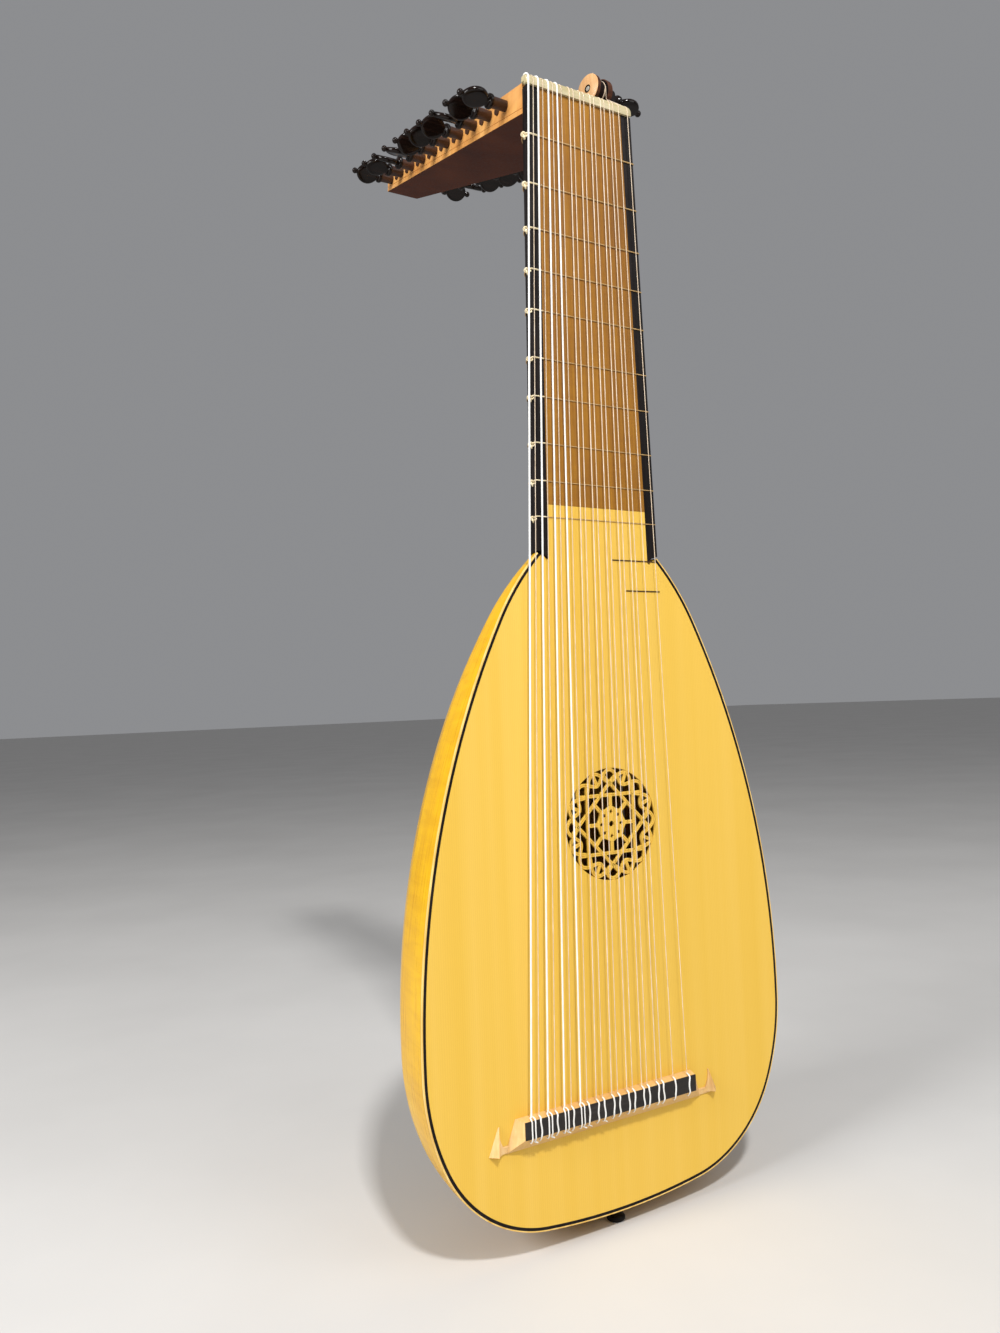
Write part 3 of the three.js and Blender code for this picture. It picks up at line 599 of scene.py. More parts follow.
def rib_skin(index):
    """A bent strip, nearly flat across, from the clasp to the neck."""
    rings = []
    for station in STATIONS:
        half, z, _ = station
        if half < RIB_START:
            continue
        edge = asin(((BOARD_THICKNESS + 0.1) / bowl_depth(half, z)) ** (1 / bowl_power(z)))
        step = (pi - 2 * edge) / RIBS
        seam = RIB_SEAM / half
        start, end = edge + step * index + seam, edge + step * (index + 1) - seam
        outer, inner = (rib_row(station, start, end, inward) for inward in (0, RIB_THICKNESS))
        across, inwards = RIB_EASE
        for side, beside in ((0, 1), (-1, -2)):
            eased = between(outer[side], outer[beside], across)
            outer[side] = eased + (inner[side] - outer[side]) * inwards
        rings.append(outer + inner[::-1])
    return loft(rings)


def make_ribs():
    for index in range(RIBS):
        name = f"rib_{index + 1:02d}"
        piece_of(name + "_bent", rib_skin(index), MAPLE, "maple_bowl", replaces=name, sharp=30)


# ---- soundboard, its edge lines and the rose ----
EDGE_PALE_WIDTH = 1.0
EDGE_LINE_WIDTH = 1.9


def edge_band(outer, inner):
    """The outline of a narrow band round the body, open at the neck."""
    out, back = half_outline(outer), half_outline(inner)
    return mirrored(out) + out[1:] + back[:0:-1] + [(-x, z) for x, z in back]


def neck_half(z):
    return float(np.interp(z, (JOINT_Z, NUT_Z), NECK_HALF))


def strip_inner(z):
    return neck_half(z) - EDGE_STRIP_WIDTH


def make_soundboard():
    rim = EDGE_PALE_WIDTH + EDGE_LINE_WIDTH + 0.1
    bottom, *side = half_outline(rim)
    shoulder = side[-1]
    notch = NECK_HALF[0] - EDGE_STRIP_WIDTH - GAP
    top = FINGERBOARD_END_Z - 0.1
    lobe = bend(shoulder, (shoulder[0] - 3.0, shoulder[1] + 1.2), (notch + 2, EDGE_POINT_Z - 1.2))
    right = side + lobe[1:] + [(notch, EDGE_POINT_Z), (strip_inner(top) - 0.1, top)]
    outlines = [[bottom] + right + mirrored(right), rose_ring(ROSE_RADIUS, 96)]
    plate("soundboard_spruce", outlines, SPRUCE, "spruce_soundboard", 0.1, replaces="soundboard")
    line = edge_band(EDGE_PALE_WIDTH, EDGE_PALE_WIDTH + EDGE_LINE_WIDTH)
    plate("edge_line", [line], EBONY, "ebony", 0.08)
    binding = edge_band(0.1, EDGE_PALE_WIDTH - 0.05)
    plate("edge_binding", [binding], PALE_EDGE, "maple_bowl", 0.08)


def rose_band(path, width, front, looped=True):
    """A flat carved band along a path of (x, z) pairs, with a groove cut down its middle."""
    path = np.asarray(path, float)
    half, lip = width / 2, 0.22
    section = [(-half, 1.5), (-half, 0.25), (lip - half, 0), (-lip, 0), (0, 0.4)]
    section += [(-x, y) for x, y in section[-2::-1]]
    rings = []
    for point, onward, mean in zip(path, *headings(path, looped)):
        stretch = 1 / max(0.5, float(np.dot(mean, onward)))
        normal = np.array((-mean[1], mean[0])) * stretch
        rings.append([(point[0] + normal[0] * x, front + y, point[1] + normal[1] * x) for x, y in section])
    return loft(rings, looped)


def polar(radius, degrees):
    angle = radians(degrees)
    return ROSE_CENTRE[0] + radius * cos(angle), ROSE_CENTRE[1] + radius * sin(angle)


def rose_ring(radius, steps, swing=0, phase=0):
    """A ring about the rose's middle. With a swing it is wavy, with one wave for each fold."""
    turn = np.arange(steps) * 360 / steps
    return [polar(radius + swing * cos(radians(ROSE_FOLDS * a + phase)), a) for a in turn]


def chord(distance, half_length, degrees):
    """A straight line across the rose, at a distance from its centre."""
    reach = hypot(distance, half_length)
    spread = np.degrees(atan2(half_length, distance))
    return [polar(reach, degrees - spread), polar(reach, degrees + spread)]


ROSE_FOLDS = 8
ROSE_BAND = 2.4
ROSE_WAVE = (33.4, 4.4)  # radius and swing of the plaited rim
ROSE_TIE = (29, 38.6)  # the ties and the spokes run between these radii
ROSE_SPOKE = (10, 20.2)


def make_rose():
    """An eightfold interlace: a plaited rim, a star of chords, spokes and a pierced centre."""
    skins, centre = [], [rose_ring(12, 120, 0.5), rose_ring(2, 24)]
    kite = [(6.7, 0), (8.6, -9), (10.3, 0), (8.6, 9)]
    for phase in (0, 180):
        wave = rose_ring(ROSE_WAVE[0], 288, ROSE_WAVE[1], phase)
        skins.append(rose_band(wave, ROSE_BAND, 0.1 + phase / 1800))
    for k in range(ROSE_FOLDS):
        over = 0.12 * (k % 2)
        turn = 360 / ROSE_FOLDS * k
        tie = [polar(radius, 22.5 + turn) for radius in ROSE_TIE]
        spoke = [polar(radius, turn) for radius in ROSE_SPOKE]
        skins.append(rose_band(tie, ROSE_BAND, 0.06 + over, looped=False))
        skins.append(rose_band(chord(ROSE_SPOKE[1], 27, turn), ROSE_BAND, 0.3 - over, looped=False))
        skins.append(rose_band(spoke, ROSE_BAND + 0.2, 0.1, looped=False))
        centre.append([polar(radius, turn + degrees) for radius, degrees in kite])
    piece_of("rose_lattice", joined(*skins), SPRUCE, "spruce_soundboard")
    plate("rose_centre", centre, SPRUCE, "spruce_soundboard", 0.25, front=0.08)


# ---- neck, fingerboard, frets ----
def neck_section(z, grow=0.0, steps=40):
    half = neck_half(z)
    depth = float(np.interp(z, (JOINT_Z, NUT_Z), NECK_DEPTH))
    power = float(np.interp(z, (JOINT_Z, NUT_Z), (2 / 2.35, 1)))
    ring = []
    for angle in pi * np.arange(steps + 1) / steps:
        x = -(half + grow) * signed_power(cos(angle), power)
        ring.append((x, NECK_FRONT + (depth - NECK_FRONT + grow) * sin(angle) ** power, z))
    return ring


def pegbox_point(x, along, depth):
    return (
        x,
        PEGBOX_ROOT_Y + along * cos(PEGBOX_ANGLE) + depth * sin(PEGBOX_ANGLE),
        PEGBOX_TOP_Z + along * sin(PEGBOX_ANGLE) - depth * cos(PEGBOX_ANGLE),
    )


def make_neck():
    levels = np.linspace(JOINT_Z + 0.5, NUT_Z - GAP, 24)
    skin = loft([neck_section(z) for z in levels])
    neck = piece_of("neck_veneer", skin, EBONY, "ebony", replaces="neck")
    low = PEGBOX_DEPTH[0] + GAP
    root = pegbox_point(0, root_at(low), low)
    slope = tan(PEGBOX_ANGLE + atan((PEGBOX_DEPTH[0] - PEGBOX_DEPTH[1]) / PEGBOX_LENGTH))
    front = PEGBOX_ROOT_Y - 0.1
    far, top = 100, NUT_Z + 50  # past the neck on every side
    side = [(front, root[2]), (far, root[2] + (far - root[1]) * slope), (far, top), (front, top)]
    drilled(neck, bar(side, (-far, far)))
    bevelled(neck, 0.3)


def make_fingerboard():
    rings = []
    for z in (FINGERBOARD_END_Z, NUT_Z - 0.1):
        half, back = strip_inner(z) - 0.05, FINGERBOARD_THICKNESS
        rings.append([(-half, 0, z), (half, 0, z), (half, back, z), (-half, back, z)])
    wood = FINGERBOARD_WOOD
    piece_of("fingerboard_plain", loft(rings), wood, "fingerboard_wood", replaces="fingerboard", bevel=0.15)
    for side, end in ((-1, "bass"), (1, "treble")):
        inner = lambda z: side * strip_inner(z)
        tip = bend(
            (side * neck_half(JOINT_Z), JOINT_Z + 1),
            (inner(JOINT_Z) + side * 5.5, JOINT_Z + 2),
            (inner(JOINT_Z) + side * 0.6, EDGE_POINT_Z + 0.3),
        )
        outline = [(inner(NUT_Z), NUT_Z - 0.1), (side * neck_half(NUT_Z), NUT_Z - 0.1)]
        outline += tip + [(inner(EDGE_POINT_Z), EDGE_POINT_Z + 0.3)]
        node = "fingerboard_edge_" + end
        plate(node + "_strip", [outline], EBONY, "ebony", 0.12, back=FINGERBOARD_THICKNESS, replaces=node)


def fret_loop(z, radius):
    """Round the neck once: across the front, then behind it."""
    half = neck_half(z) + radius
    front = [(-half + 0.6, -radius, z), (half - 0.6, -radius, z), (half, 0.6, z)]
    behind = neck_section(z, radius + 0.1, 24)[::-1][1:-1]
    return rounded(front + behind + [(-half, 0.6, z)], 0.8, 4)


def knot(centre, size, radius):
    """A small overhand knot, and its two clipped tails."""
    t = np.linspace(0, 2 * pi, 49)[:-1]
    x = np.sin(t) + 2 * np.sin(2 * t)
    z = np.cos(t) - 2 * np.cos(2 * t)
    path = np.stack([x, -1.2 * np.sin(3 * t), z], 1) * size / 3 + np.asarray(centre)
    tail = [path[0], path[0] + (-1.6, -0.4, 0.9), path[0] + (-2.4, -0.2, 2.0)]
    return joined(tube(path, radius, looped=True), tube(tail, radius * 0.9))


def make_frets():
    for number, distance in enumerate(FRET_DISTANCES, 1):
        z = NUT_Z - distance
        radius = 0.5 - 0.018 * number
        name = f"fret_{number:02d}"
        gut_piece(name, tube(fret_loop(z, radius), radius, looped=True), FRET_GUT)
        half = neck_half(z)
        tied = knot((-half - 2.0, 0.6, z - 2.0), 2.3, radius * 1.25)
        over = [(-half + EDGE_STRIP_WIDTH - 0.5, -radius, z + 0.1)]
        over += [(-half, -radius, z), (-half - 1.4, 0.4, z - 0.9)]
        gut_piece(name + "_knot", joined(tube(rounded(over, 1), radius * 1.35), tied), KNOT_GUT)
    for number, (distance, left, right) in enumerate(BODY_FRETS, 1):
        z = NUT_Z - distance
        section = [(-0.55, z - 0.25), (-0.55, z + 0.25), (-0.01, z + 0.45), (-0.01, z - 0.45)]
        piece_of(f"body_fret_{number}", bar(section, (left, right)), PEG_SHAFT, "ebony")


class String:
    """One string: its course and number, both counted from the treble, and its places."""

    def __init__(self, number, index, side):
        share = index / (PAIRS - 1)
        self.number = number
        self.course = len(COURSE_NUT_X) - index
        saddle = COURSE_SADDLE_START + COURSE_SADDLE_PITCH * index
        self.nut_x = COURSE_NUT_X[index] + side * between(*PAIR_GAP_NUT, share)
        self.saddle_x = saddle + side * between(*PAIR_GAP_SADDLE, share)
        self.radius = OCTAVE_RADIUS if side > 0 else COURSE_RADIUS[index]
        self.thick = self.radius > 0.5
        self.loop_radius = max(self.radius * 0.75, 0.34)
        self.tail = self.thick or number in (11, 13)


STRING_COUNT = len(COURSE_NUT_X) + PAIRS
STRINGS = []  # from bass to treble
for course_index in range(len(COURSE_NUT_X)):
    for pair_side in (-0.5, 0.5) if course_index < PAIRS else (0,):
        STRINGS.append(String(STRING_COUNT - len(STRINGS), course_index, pair_side))

NUT_END = 3.4  # the nut is rounded over this length at each end
NUT_GROOVE = 0.035  # share of the way in to the nut's middle


def make_nut():
    """Bone, with a groove for each string and rounded ends."""
    profile = np.array([
        (NUT_FRONT, 0.05), (NUT_FRONT - 0.1, 2.0), (NUT_FRONT, 3.9), (-1.3, 5.5), (-0.6, 6.9), (0.4, 7.8),
        (1.8, NUT_HEIGHT - 0.1), (4.4, NUT_HEIGHT), (5.8, NUT_HEIGHT - 0.3), (6.3, NUT_HEIGHT - 1.1),
        (6.3, 3.05), (2.25, 3.05), (2.25, 0.05),
    ])
    centre = np.array((2.2, 4.2))
    half = NECK_HALF[1] + 0.4
    rings = []
    for x in np.arange(-half, half + 0.01, 0.2):
        ease = 1 - 0.28 * max(0.0, (abs(x) - half + NUT_END) / NUT_END) ** 2
        section = centre + (profile - centre) * ease
        for string in STRINGS:
            away = abs(x - string.nut_x) / (string.radius + 0.3)
            if away < 1:
                section[3:8] -= (section[3:8] - centre) * NUT_GROOVE * sqrt(1 - away * away)
        rings.append([(x, y, NUT_Z + z) for y, z in section])
    piece_of("nut_grooved", loft(rings), BONE, "bone", replaces="nut", sharp=50)


# ---- pegbox ----
def pegbox_depth(along):
    return between(*PEGBOX_DEPTH, along / PEGBOX_LENGTH)


def pegbox_half(along):
    return between(*PEGBOX_HALF, along / PEGBOX_LENGTH)


def cheek_depth(along):
    return pegbox_depth(along) - PEGBOX_BACK_THICKNESS - GAP / 3


def root_at(depth):
    return -depth * tan(PEGBOX_ANGLE)


class Peg:
    """One peg's place: its side, its distance along the pegbox and its axis."""

    def __init__(self, name, side, along, turn):
        self.name, self.side, self.along, self.turn = name, side, along, radians(turn)
        self.axis_depth = PEG_AXIS_SHARE * (pegbox_depth(along) - PEGBOX_BACK_THICKNESS - GAP)
        self.outer = pegbox_half(along)
        self.reach = 2 * self.outer + 1

    def lay(self, skin):
        """Turns a skin that was made along +z towards the peg's side, with its cheek at z = 0."""
        turn = Matrix.Rotation(self.side * pi / 2, 4, "Y") @ Matrix.Rotation(self.turn, 4, "Z")
        spot = pegbox_point(self.side * self.outer, self.along, self.axis_depth)
        return moved(skin, Matrix.Translation(spot) @ turn)

    def shaft_radius(self, x):
        """The shaft's radius where it passes x."""
        inward = self.outer - self.side * x
        return PEG_COLLAR_RADIUS + (PEG_TIP_RADIUS - PEG_COLLAR_RADIUS) * inward / self.reach


PEGS = []
for row, peg_turn in enumerate(PEG_TURNS):
    PEGS.append(Peg(f"peg_bass_{row + 1:02d}", -1, BASS_PEG_START + PEG_PITCH * row, peg_turn))
for row, peg_turn in enumerate(PEG_TURNS[:0:-1]):
    PEGS.append(Peg(f"peg_treble_{row + 2:02d}", 1, TREBLE_PEG_START + PEG_PITCH * row, 180 - peg_turn))


def bore_skins():
    profile = lambda peg: [(PEG_TIP_RADIUS + 0.12, -peg.reach - 3), (PEG_COLLAR_RADIUS + 0.12, 2)]
    return joined(*[peg.lay(turned(profile(peg), 28)) for peg in PEGS])


def pegbox_box(start, end, sides):
    """A box along the pegbox; sides gives its left, right, top and low. At 0 it meets the neck."""
    rings = []
    for along in (start, end):
        left, right, top, low = sides(along)
        corners = ((left, top), (right, top), (right, low), (left, low))
        rings.append([pegbox_point(x, along or root_at(depth), depth) for x, depth in corners])
    return loft(rings)


def back_sides(along):
    half, low = pegbox_half(along), pegbox_depth(along)
    return -half, half, low - PEGBOX_BACK_THICKNESS, low


def end_sides(along):
    half = pegbox_half(along) - CHEEK_THICKNESS - 0.05
    return -half, half, 0, cheek_depth(along)


def make_pegbox():
    bores = bore_skins()
    for side, end in ((-1, "bass"), (1, "treble")):
        across = lambda along, inward: side * (pegbox_half(along) - inward)
        sides = lambda along: (across(along, 0), across(along, CHEEK_THICKNESS), 0, cheek_depth(along))
        node = "pegbox_cheek_" + end
        skin = pegbox_box(0, PEGBOX_LENGTH, sides)
        cheek = piece_of(node + "_wood", skin, PEGBOX_WOOD, "pegbox_wood", replaces=node)
        drilled(cheek, bores)
        bevelled(cheek, 0.35)
    skin = pegbox_box(0, PEGBOX_LENGTH, back_sides)
    woods = [PEGBOX_WOOD, PEGBOX_UNDERSIDE_VENEER_AND_SHADE]
    back = piece_of("pegbox_back_board", skin, woods, "pegbox_wood", replaces="pegbox_back", bevel=0.5)
    # Faces that look down take the second wood: partly a darker veneer, partly painted shade of the
    # underside.
    below = Vector((0, sin(PEGBOX_ANGLE), -cos(PEGBOX_ANGLE)))
    for polygon in back.data.polygons:
        polygon.material_index = int(polygon.normal.dot(below) > 0.9)
    skin = pegbox_box(PEGBOX_LENGTH - PEGBOX_END_LENGTH, PEGBOX_LENGTH, end_sides)
    piece_of("pegbox_end_wood", skin, PEGBOX_WOOD, "pegbox_wood", replaces="pegbox_end", bevel=0.3)


# ---- pegs ----
def stem_profile():
    """Pairs of height over the cheek and radius: shaft, collar, waist and ball."""
    parts = [
        (0, [(0, PEG_COLLAR_RADIUS)]),
        (PEG_STEM, [(-0.4, 4.15), (0.1, 4.3), (0.5, 5.0), (1.2, 5.35)]),
        (PEG_COLLAR_END, [(-1.6, 5.35), (-0.8, 4.7), (-0.3, 3.6), (0.2, 3.1), (1.0, 3.0)]),
        (PEG_BALL_MIDDLE, [(-3.1, 2.1), (-2.3, 1.7), (-1.7, 1.95), (-1, 2.35), (0, 2.55)]),
        (PEG_BALL_MIDDLE, [(1.1, 2.2), (1.9, 1.3), (2.35, 0.05)]),
    ]
    return [(start + height, radius) for start, part in parts for height, radius in part]


STEM_HEIGHTS, STEM_RADII = zip(*stem_profile())
THUMB_HALF = 9.8
THUMB_WIDTH = 8.55
THUMB_THICKNESS = 2.9
PEG_SIDES = 32


def peg_skin(reach):
    """Shaft, collar, thumb piece with dished faces and ball end as one skin along +z."""
    thumb = np.arange(THUMB_MIDDLE - THUMB_HALF + 0.1, THUMB_MIDDLE + THUMB_HALF, 0.55)
    rings = []
    for z in np.unique(np.concatenate([[-reach, -reach / 2], STEM_HEIGHTS, thumb])):
        stem = np.interp(z, STEM_HEIGHTS, STEM_RADII)
        if z < 0:
            stem = PEG_COLLAR_RADIUS + (PEG_COLLAR_RADIUS - PEG_TIP_RADIUS) * z / reach
        t = (z - THUMB_MIDDLE) / THUMB_HALF
        swell = sqrt(max(0, 1 - t * t))
        width = (stem**3 + (THUMB_WIDTH * swell) ** 3) ** (1 / 3)
        thick = (stem**3 * (1 - 0.4 * swell) + (THUMB_THICKNESS * swell**0.7) ** 3) ** (1 / 3)
        ring = []
        for angle in 2 * pi * np.arange(PEG_SIDES) / PEG_SIDES:
            dish = 1 - 0.3 * swell * sin(angle) ** 2
            y = thick * signed_power(sin(angle), 1 - 0.45 * swell) * dish
            ring.append((width * cos(angle), y, z))
        rings.append(ring)
    return loft(rings)


def make_peg(name, skin, laid, shaft_wood):
    """Head and shaft are two woods. skin is the peg along +z, and laid is the peg in its place."""
    woods = [PEG_WOOD, shaft_wood]
    piece = piece_of(name + "_turned", laid, woods, "peg_rosewood", body=name, replaces=name, sharp=50)
    points, faces, _ = skin
    for polygon, face in zip(piece.data.polygons, faces):
        polygon.material_index = int(np.mean([points[v][2] for v in face]) < PEG_STEM + 0.2)


def make_pegs():
    for peg in PEGS:
        skin = peg_skin(peg.reach)
        make_peg(peg.name, skin, peg.lay(skin), PEG_SHAFT)


def on_rider(skin):
    """A skin made along z about the post's middle, laid along the raised peg's axis."""
    turn = Matrix.Rotation(RIDER_SWING, 4, "Z") @ Matrix.Rotation(pi / 2, 4, "Y")
    return moved(skin, Matrix.Translation(RIDER) @ turn)


def make_raised_peg():
    thickness = RIDER_POST[0]
    skin = peg_skin(SPOOL_LENGTH - SPOOL_END - thickness / 2 - 1.4)
    turn = Matrix.Rotation(radians(RIDER_TURN), 4, "Z")
    raised = moved(skin, Matrix.Translation((0, 0, -thickness / 2)) @ turn)
    make_peg("peg_treble_01", skin, on_rider(raised), SHAFT_WOOD_AND_DRUM_SHADE)


def make_spool():
    """A drum between two flanges, with a pin in the middle of its pale face. The rims and the far flange
    get painted shade, and the drum's waist and the bore a darker painted shade.
    """
    left, right = SPOOL_END - SPOOL_LENGTH, SPOOL_END
    profile = [(0.01, left - 0.1), (1.5, left - 0.1), (1.8, left + 0.2), (1.8, left + 3), (0.01, left + 3)]
    pin = on_rider(turned(profile, 24))
    piece_of("rider_pin", pin, PIN_METAL, "pegbox_wood", body="peg_treble_01")
    rim, drum, bore = SPOOL_RADIUS, DRUM_RADIUS, 4.3
    eased = rim - 0.6
    profile = [
        (2.9, left), (eased, left), (rim, left + 0.5), (rim, left + 3.4), (eased, left + 4),
        (drum, left + 4.9), (drum, right - 5.4), (eased, right - 4.5), (rim, right - 4), (rim, right - 0.5),
        (eased, right), (bore, right), (bore, right - 0.5), (bore, left + 1.6), (2.9, left + 1.2),
    ]
    skin = turned(profile, 56, looped=True)
    woods, body = [SPOOL_WOOD, SHADED_SPOOL_WOOD, SHAFT_WOOD_AND_DRUM_SHADE], "peg_treble_01"
    spool = piece_of("rider_spool_turned", on_rider(skin), woods, "pegbox_wood", body, "rider_spool", 40)
    points, faces, _ = skin
    # Material 0 is the front face's own pale wood, 1 is painted shade on the rims and the far flange, 2 is
    # darker painted shade on the drum and in the bore.
    for polygon, face in zip(spool.data.polygons, faces):
        level = np.mean([points[v][2] for v in face])
        hollow = level > left + 0.1 and np.mean([hypot(*points[v][:2]) for v in face]) < bore + 0.3
        waist = left + 4.2 < level < right - 4.8
        polygon.material_index = 2 if hollow or waist else int(level > left + 0.4)


def make_post():
    thickness, radius = RIDER_POST
    foot = pegbox_point(0, RIDER[1] - PEGBOX_ROOT_Y, 0)[2] - RIDER[2]
    slope = tan(PEGBOX_ANGLE) * radius
    arch = [(radius * cos(a), radius * sin(a)) for a in np.linspace(0, pi, 25)]
    outline = [(radius, foot + slope)] + arch + [(-radius, foot - slope)]
    skin = bar(outline, (-thickness / 2, thickness / 2))
    skin = moved(skin, Matrix.Translation(RIDER) @ Matrix.Rotation(RIDER_SWING, 4, "Z"))
    post = piece_of("rider_post_wood", skin, EBONY, "ebony", replaces="rider_post")
    drilled(post, on_rider(turned([(4.3, -10), (4.3, 10)], 32)))
    bevelled(post, 0.5)


# ---- strings ----
# The first string leaves the drum here, and turns round the rim of the flange here.
SPOOL_TANGENT = (0.81, -8.41, SPOOL_END - 5.7)
SPOOL_CORNER = (7.75, -7.75, SPOOL_END - 5.0)


def peg_of(string):
    """The peg a string winds on: outer strings go to the pegs nearest the nut."""
    if string.number > PEGS_PER_SIDE:
        return PEGS[STRING_COUNT - string.number]
    return None if string.number == 1 else PEGS[PEGS_PER_SIDE + string.number - 2]


def string_start(string):
    """Where a string leaves its peg's winding, on the winding's upper side."""
    peg = peg_of(string)
    if peg is None:
        return list(on_rider(([SPOOL_TANGENT, SPOOL_CORNER], [], []))[0])
    wound = WINDING_SHARE * string.nut_x
    over = peg.axis_depth - peg.shaft_radius(wound) - string.radius - 0.05
    return [pegbox_point(wound, peg.along, over)]


def string_path(string):
    x, radius, saddle = string.nut_x, string.radius, string.saddle_x
    lift = 0.6 * radius
    top = [
        (x, 3.6, NUT_Z + NUT_HEIGHT + 0.4 * radius),
        (x, 1.4, NUT_Z + NUT_HEIGHT - 0.3 + lift),
        (x, -0.7 - lift, NUT_Z + 6.9),
        (x, NUT_FRONT - lift, NUT_Z + 4.2),
    ]
    bridge_end = [(saddle, -6.8, BRIDGE_Z + 2.2), (saddle, -5.6, BRIDGE_Z - 0.8)]
    if peg_of(string) is None:
        top = top[1:]
    return rounded(string_start(string) + top + bridge_end, 1.2)


def bridge_loop(string):
    """The string's end: up through the bridge, over its face, round itself and back again."""
    x, radius = string.saddle_x, string.loop_radius
    over = BRIDGE_TOP - radius
    gap = 1.25 if string.thick else 0.22
    swing = 0.05 if string.thick else 0.38
    low, high = BRIDGE_FACE[0][1], BRIDGE_FACE[2][1]
    rise = np.linspace(low + 0.6, high - 0.4, 9)
    sway = [swing * sin(5.5 * (z - low) / (high - low) + 2.3 * string.number) for z in rise]
    left, right = x - gap, x + gap
    up = [(left + s, over, z) for s, z in zip(sway, rise)]
    down = [(right + s, over - 0.1, z) for s, z in zip(sway, rise)]
    start = [(left, -5.2, low - 2.2), (left, -7.4, low - 2.6 - radius)]
    start += [(left, over + 0.6, low - 0.8 - radius)]
    around = [(x - gap * 1.2, over + 0.5, high + 0.9), (left, -7.0, high + 1.8)]
    around += [(right, -6.4, high + 1.9), (x + gap * 1.2, over + 0.5, high + 0.9)]
    end = [(right, over + 0.7, low - 0.7 - radius), (x + gap * 0.6, -7.6, low - 1.7 - radius)]
    if string.tail:
        end.append((right + 2.6, -7.4, low - 3.6))
    return rounded(start + up + around + down[::-1] + end, 0.8, 4)


WINDING_TURNS = 5


def winding(string):
    """Close turns of the string on its peg."""
    peg, radius = peg_of(string), string.radius
    x0 = WINDING_SHARE * string.nut_x
    steps = 22
    inward = -1 if x0 > 0 else 1
    path = []
    for k in range(WINDING_TURNS * steps + 1):
        angle = 2 * pi * k / steps
        x = x0 + inward * 2.05 * radius * k / steps
        away = peg.shaft_radius(x) + radius + 0.02
        along = peg.along + away * sin(angle)
        path.append(pegbox_point(x, along, peg.axis_depth - away * cos(angle)))
    return tube(path, radius)


def spool_winding():
    """Turns of the first string side by side on the spool's drum."""
    radius = COURSE_RADIUS[-1]
    away = DRUM_RADIUS + radius
    turns, steps = 2, 30
    path = []
    for k in range(turns * steps + 1):
        angle = atan2(SPOOL_TANGENT[1], SPOOL_TANGENT[0]) - 2 * pi * k / steps
        level = SPOOL_TANGENT[2] - 2.1 * radius * k / steps
        path.append((away * cos(angle), away * sin(angle), level))
    return on_rider(tube(path, radius))


def loose_end():
    """The short stiff end of the first string that sticks up from the spool."""
    left = SPOOL_END - SPOOL_LENGTH
    drum, rim = -DRUM_RADIUS, -SPOOL_RADIUS
    path = [(drum + 0.5, -1, left + 5.4), (rim - 1, 0.2, left + 5.8), (rim - 5.5, 1.8, left + 8.6)]
    return on_rider(tube(rounded(path, 2), 0.3))


def make_strings():
    for string in STRINGS:
        material = WHITE_GUT if string.thick else CLEAR_GUT
        name = f"string_{string.number:02d}"
        node = f"course_{string.course:02d}"
        gut_piece(name, tube(string_path(string), string.radius, 10), material, replaces=node)
        gut_piece(name + "_tie", tube(bridge_loop(string), string.loop_radius), WHITE_GUT)
        peg = peg_of(string)
        if peg:
            gut_piece(name + "_winding", winding(string), material, body=peg.name)
    gut_piece("string_01_winding", spool_winding(), CLEAR_GUT, body="peg_treble_01")
    gut_piece("string_01_end", loose_end(), PIN_METAL, body="peg_treble_01")


# ---- bridge ----
def bridge_horn(side, foot, tip):
    """A carved fin outside the bar: foot and tip are its outer lower and upper corners, (x, z)."""
    rings = []
    for t in np.linspace(0, 1, 14):
        outer, z = between(np.array(foot), np.array(tip), t)
        high = 4.6 * (1 - t) ** 0.7 + 0.5
        ridge = outer - side * (4.6 * (1 - t) + 0.35)
        inner = ridge - side * (8.5 * (1 - t) ** 2.2 + 0.4)
        scoop = []
        for s in (0.12, 0.3, 0.55, 1.0):
            scoop.append((between(ridge, inner, s), -between(0.9, high, (1 - s) ** 2.6)))
        ring = [(outer, -0.05), (outer, -0.35), (ridge, -high)] + scoop + [(inner, -0.05)]
        rings.append([(x, y, z) for x, y in ring])
    return loft(rings)


def make_bridge():
    ring = lambda corners, y: [(x, y, z) for x, z in corners]
    parts = [loft([ring(BRIDGE_BASE, -0.05), ring(BRIDGE_BASE, -0.8), ring(BRIDGE_FACE, BRIDGE_TOP + 0.9)])]
    parts += [bridge_horn(*horn) for horn in BRIDGE_HORNS]
    section = [(-0.05, 62.3), (-0.9, 62.6), (-0.9, 66.4), (-0.05, 67)]
    skin = joined(*parts, *[bar(section, ends) for ends in BRIDGE_LINKS])
    piece_of("bridge_body", skin, BRIDGE_WOOD, "pearwood_bridge", replaces="bridge", sharp=25, bevel=0.25)
    face = loft([ring(BRIDGE_FACE, BRIDGE_TOP + 0.9), ring(BRIDGE_FACE, BRIDGE_TOP)])
    piece_of("bridge_face", face, FACE_EBONY, "ebony", sharp=25, bevel=0.2)


# ---- end clasp and strap button ----
def bottom_z(x, y):
    radius = OUTLINE_ARCS[0][0]
    return radius - sqrt(radius**2 - x**2 - (y / BOWL_DEPTH_RATIO) ** 2)


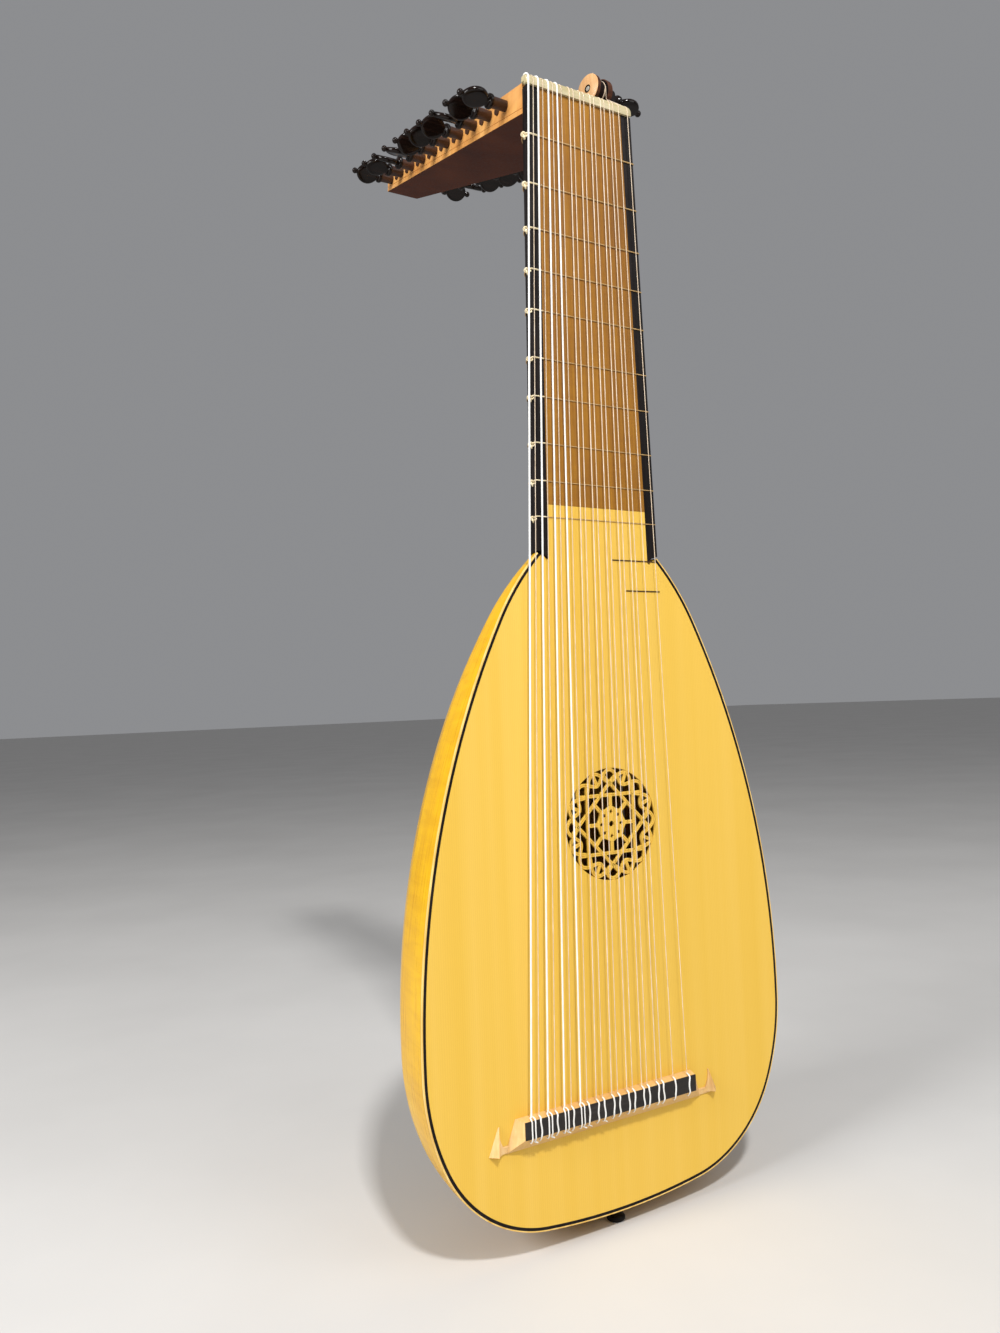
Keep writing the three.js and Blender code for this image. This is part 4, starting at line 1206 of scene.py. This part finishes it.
def make_clasp():
    """The cap over the ribs' ends: thin at the soundboard, with a scalloped back edge."""
    half, deepest = CLASP["half"], CLASP["thickness"]
    rings = []
    for x in np.linspace(-half, half, 57):
        curve = 0 if abs(x) <= CLASP["flat"] else 1
        back = CLASP["back"] - 1.5 * abs(sin(pi * x / 14))
        rows = np.concatenate([np.linspace(CLASP["front"], CLASP["slope"], 4), np.linspace(10, back, 5)])
        full = float(np.interp(abs(x), (0, half), deepest)) - 0.1
        thick = np.interp(rows, (CLASP["front"], CLASP["slope"]), (0.9, full))
        under = [(x, y, curve * bottom_z(x, y) - t) for y, t in zip(rows, thick)]
        over = [(x, y, bottom_z(x, y) * 0.98 - 0.15) for y in rows[::-1]]
        rings.append(under + over)
    piece_of("end_clasp_maple", loft(rings), MAPLE, "maple_bowl", replaces="end_clasp")


BUTTON_PROFILE = [
    (0.01, 0), (5.0, 0), (5.8, 0.15), (6.45, 0.8), (6.6, 1.7), (6.5, 2.6), (5.9, 3.5), (4.6, 4.4),
    (3.7, 5.2), (3.4, 6.1), (3.5, 7.4), (4.0, 8.6), (4.4, 9.4), (0.01, 9.5),
]  # radius, and height over the button's end


def make_button():
    skin = moved(turned(BUTTON_PROFILE), Matrix.Translation((0, BUTTON_Y, BUTTON_END_Z)))
    piece_of("strap_button_turned", skin, EBONY, "ebony", replaces="strap_button")


def finish_inside():
    """The pieces inside the bowl keep their CAD shape and get planed spruce."""
    for node in ("soundboard_bar_upper", "soundboard_bar_lower", "neck_block"):
        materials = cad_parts[node].data.materials
        materials.clear()
        materials.append(INSIDE_WOOD)


# ---- studio ----
FLOOR_HALF = 30  # metres


def make_studio():
    far = FLOOR_HALF
    mesh = bpy.data.meshes.new("floor")
    mesh.from_pydata([(-far, -far, 0), (far, -far, 0), (far, far, 0), (-far, far, 0)], [], [(0, 1, 2, 3)])
    g = Graph("floor_paper", 0.9)
    mesh.materials.append(g.paint(g.ramp(g.noise((3, 3, 3)), (0.3, "c6c4c1"), (0.7, "cdcbc8"))))
    put("floor", mesh)
    world = bpy.data.worlds.new("studio")
    world.use_nodes = True
    backdrop = world.node_tree.nodes["Background"]
    backdrop.inputs["Color"].default_value = (0.78, 0.79, 0.82, 1)
    backdrop.inputs["Strength"].default_value = 0.34
    bpy.context.scene.world = world
    softbox("key_light", (-0.55, -1.7, 2.6), (0, 0, 0.4), 0.22, 67)
    softbox("side_light", (-2.0, -0.2, 1.2), (0, 0, 0.45), 0.9, 42)
    softbox("fill_light", (0.7, -1.6, 1.5), (0, 0, 0.4), 1.2, 11)


def softbox(name, spot, target, size, watts):
    light = bpy.data.lights.new(name, "AREA")
    light.size = size
    light.energy = watts
    lamp = put(name, light)
    lamp.location = spot
    lamp.rotation_euler = (Vector(target) - Vector(spot)).to_track_quat("-Z", "Y").to_euler()


make_ribs()
make_soundboard()
make_rose()
make_neck()
make_fingerboard()
make_frets()
make_nut()
make_pegbox()
make_pegs()
make_raised_peg()
make_spool()
make_post()
make_strings()
make_bridge()
make_clasp()
make_button()
finish_inside()
make_studio()
bpy.context.scene.view_settings.view_transform = "Standard"
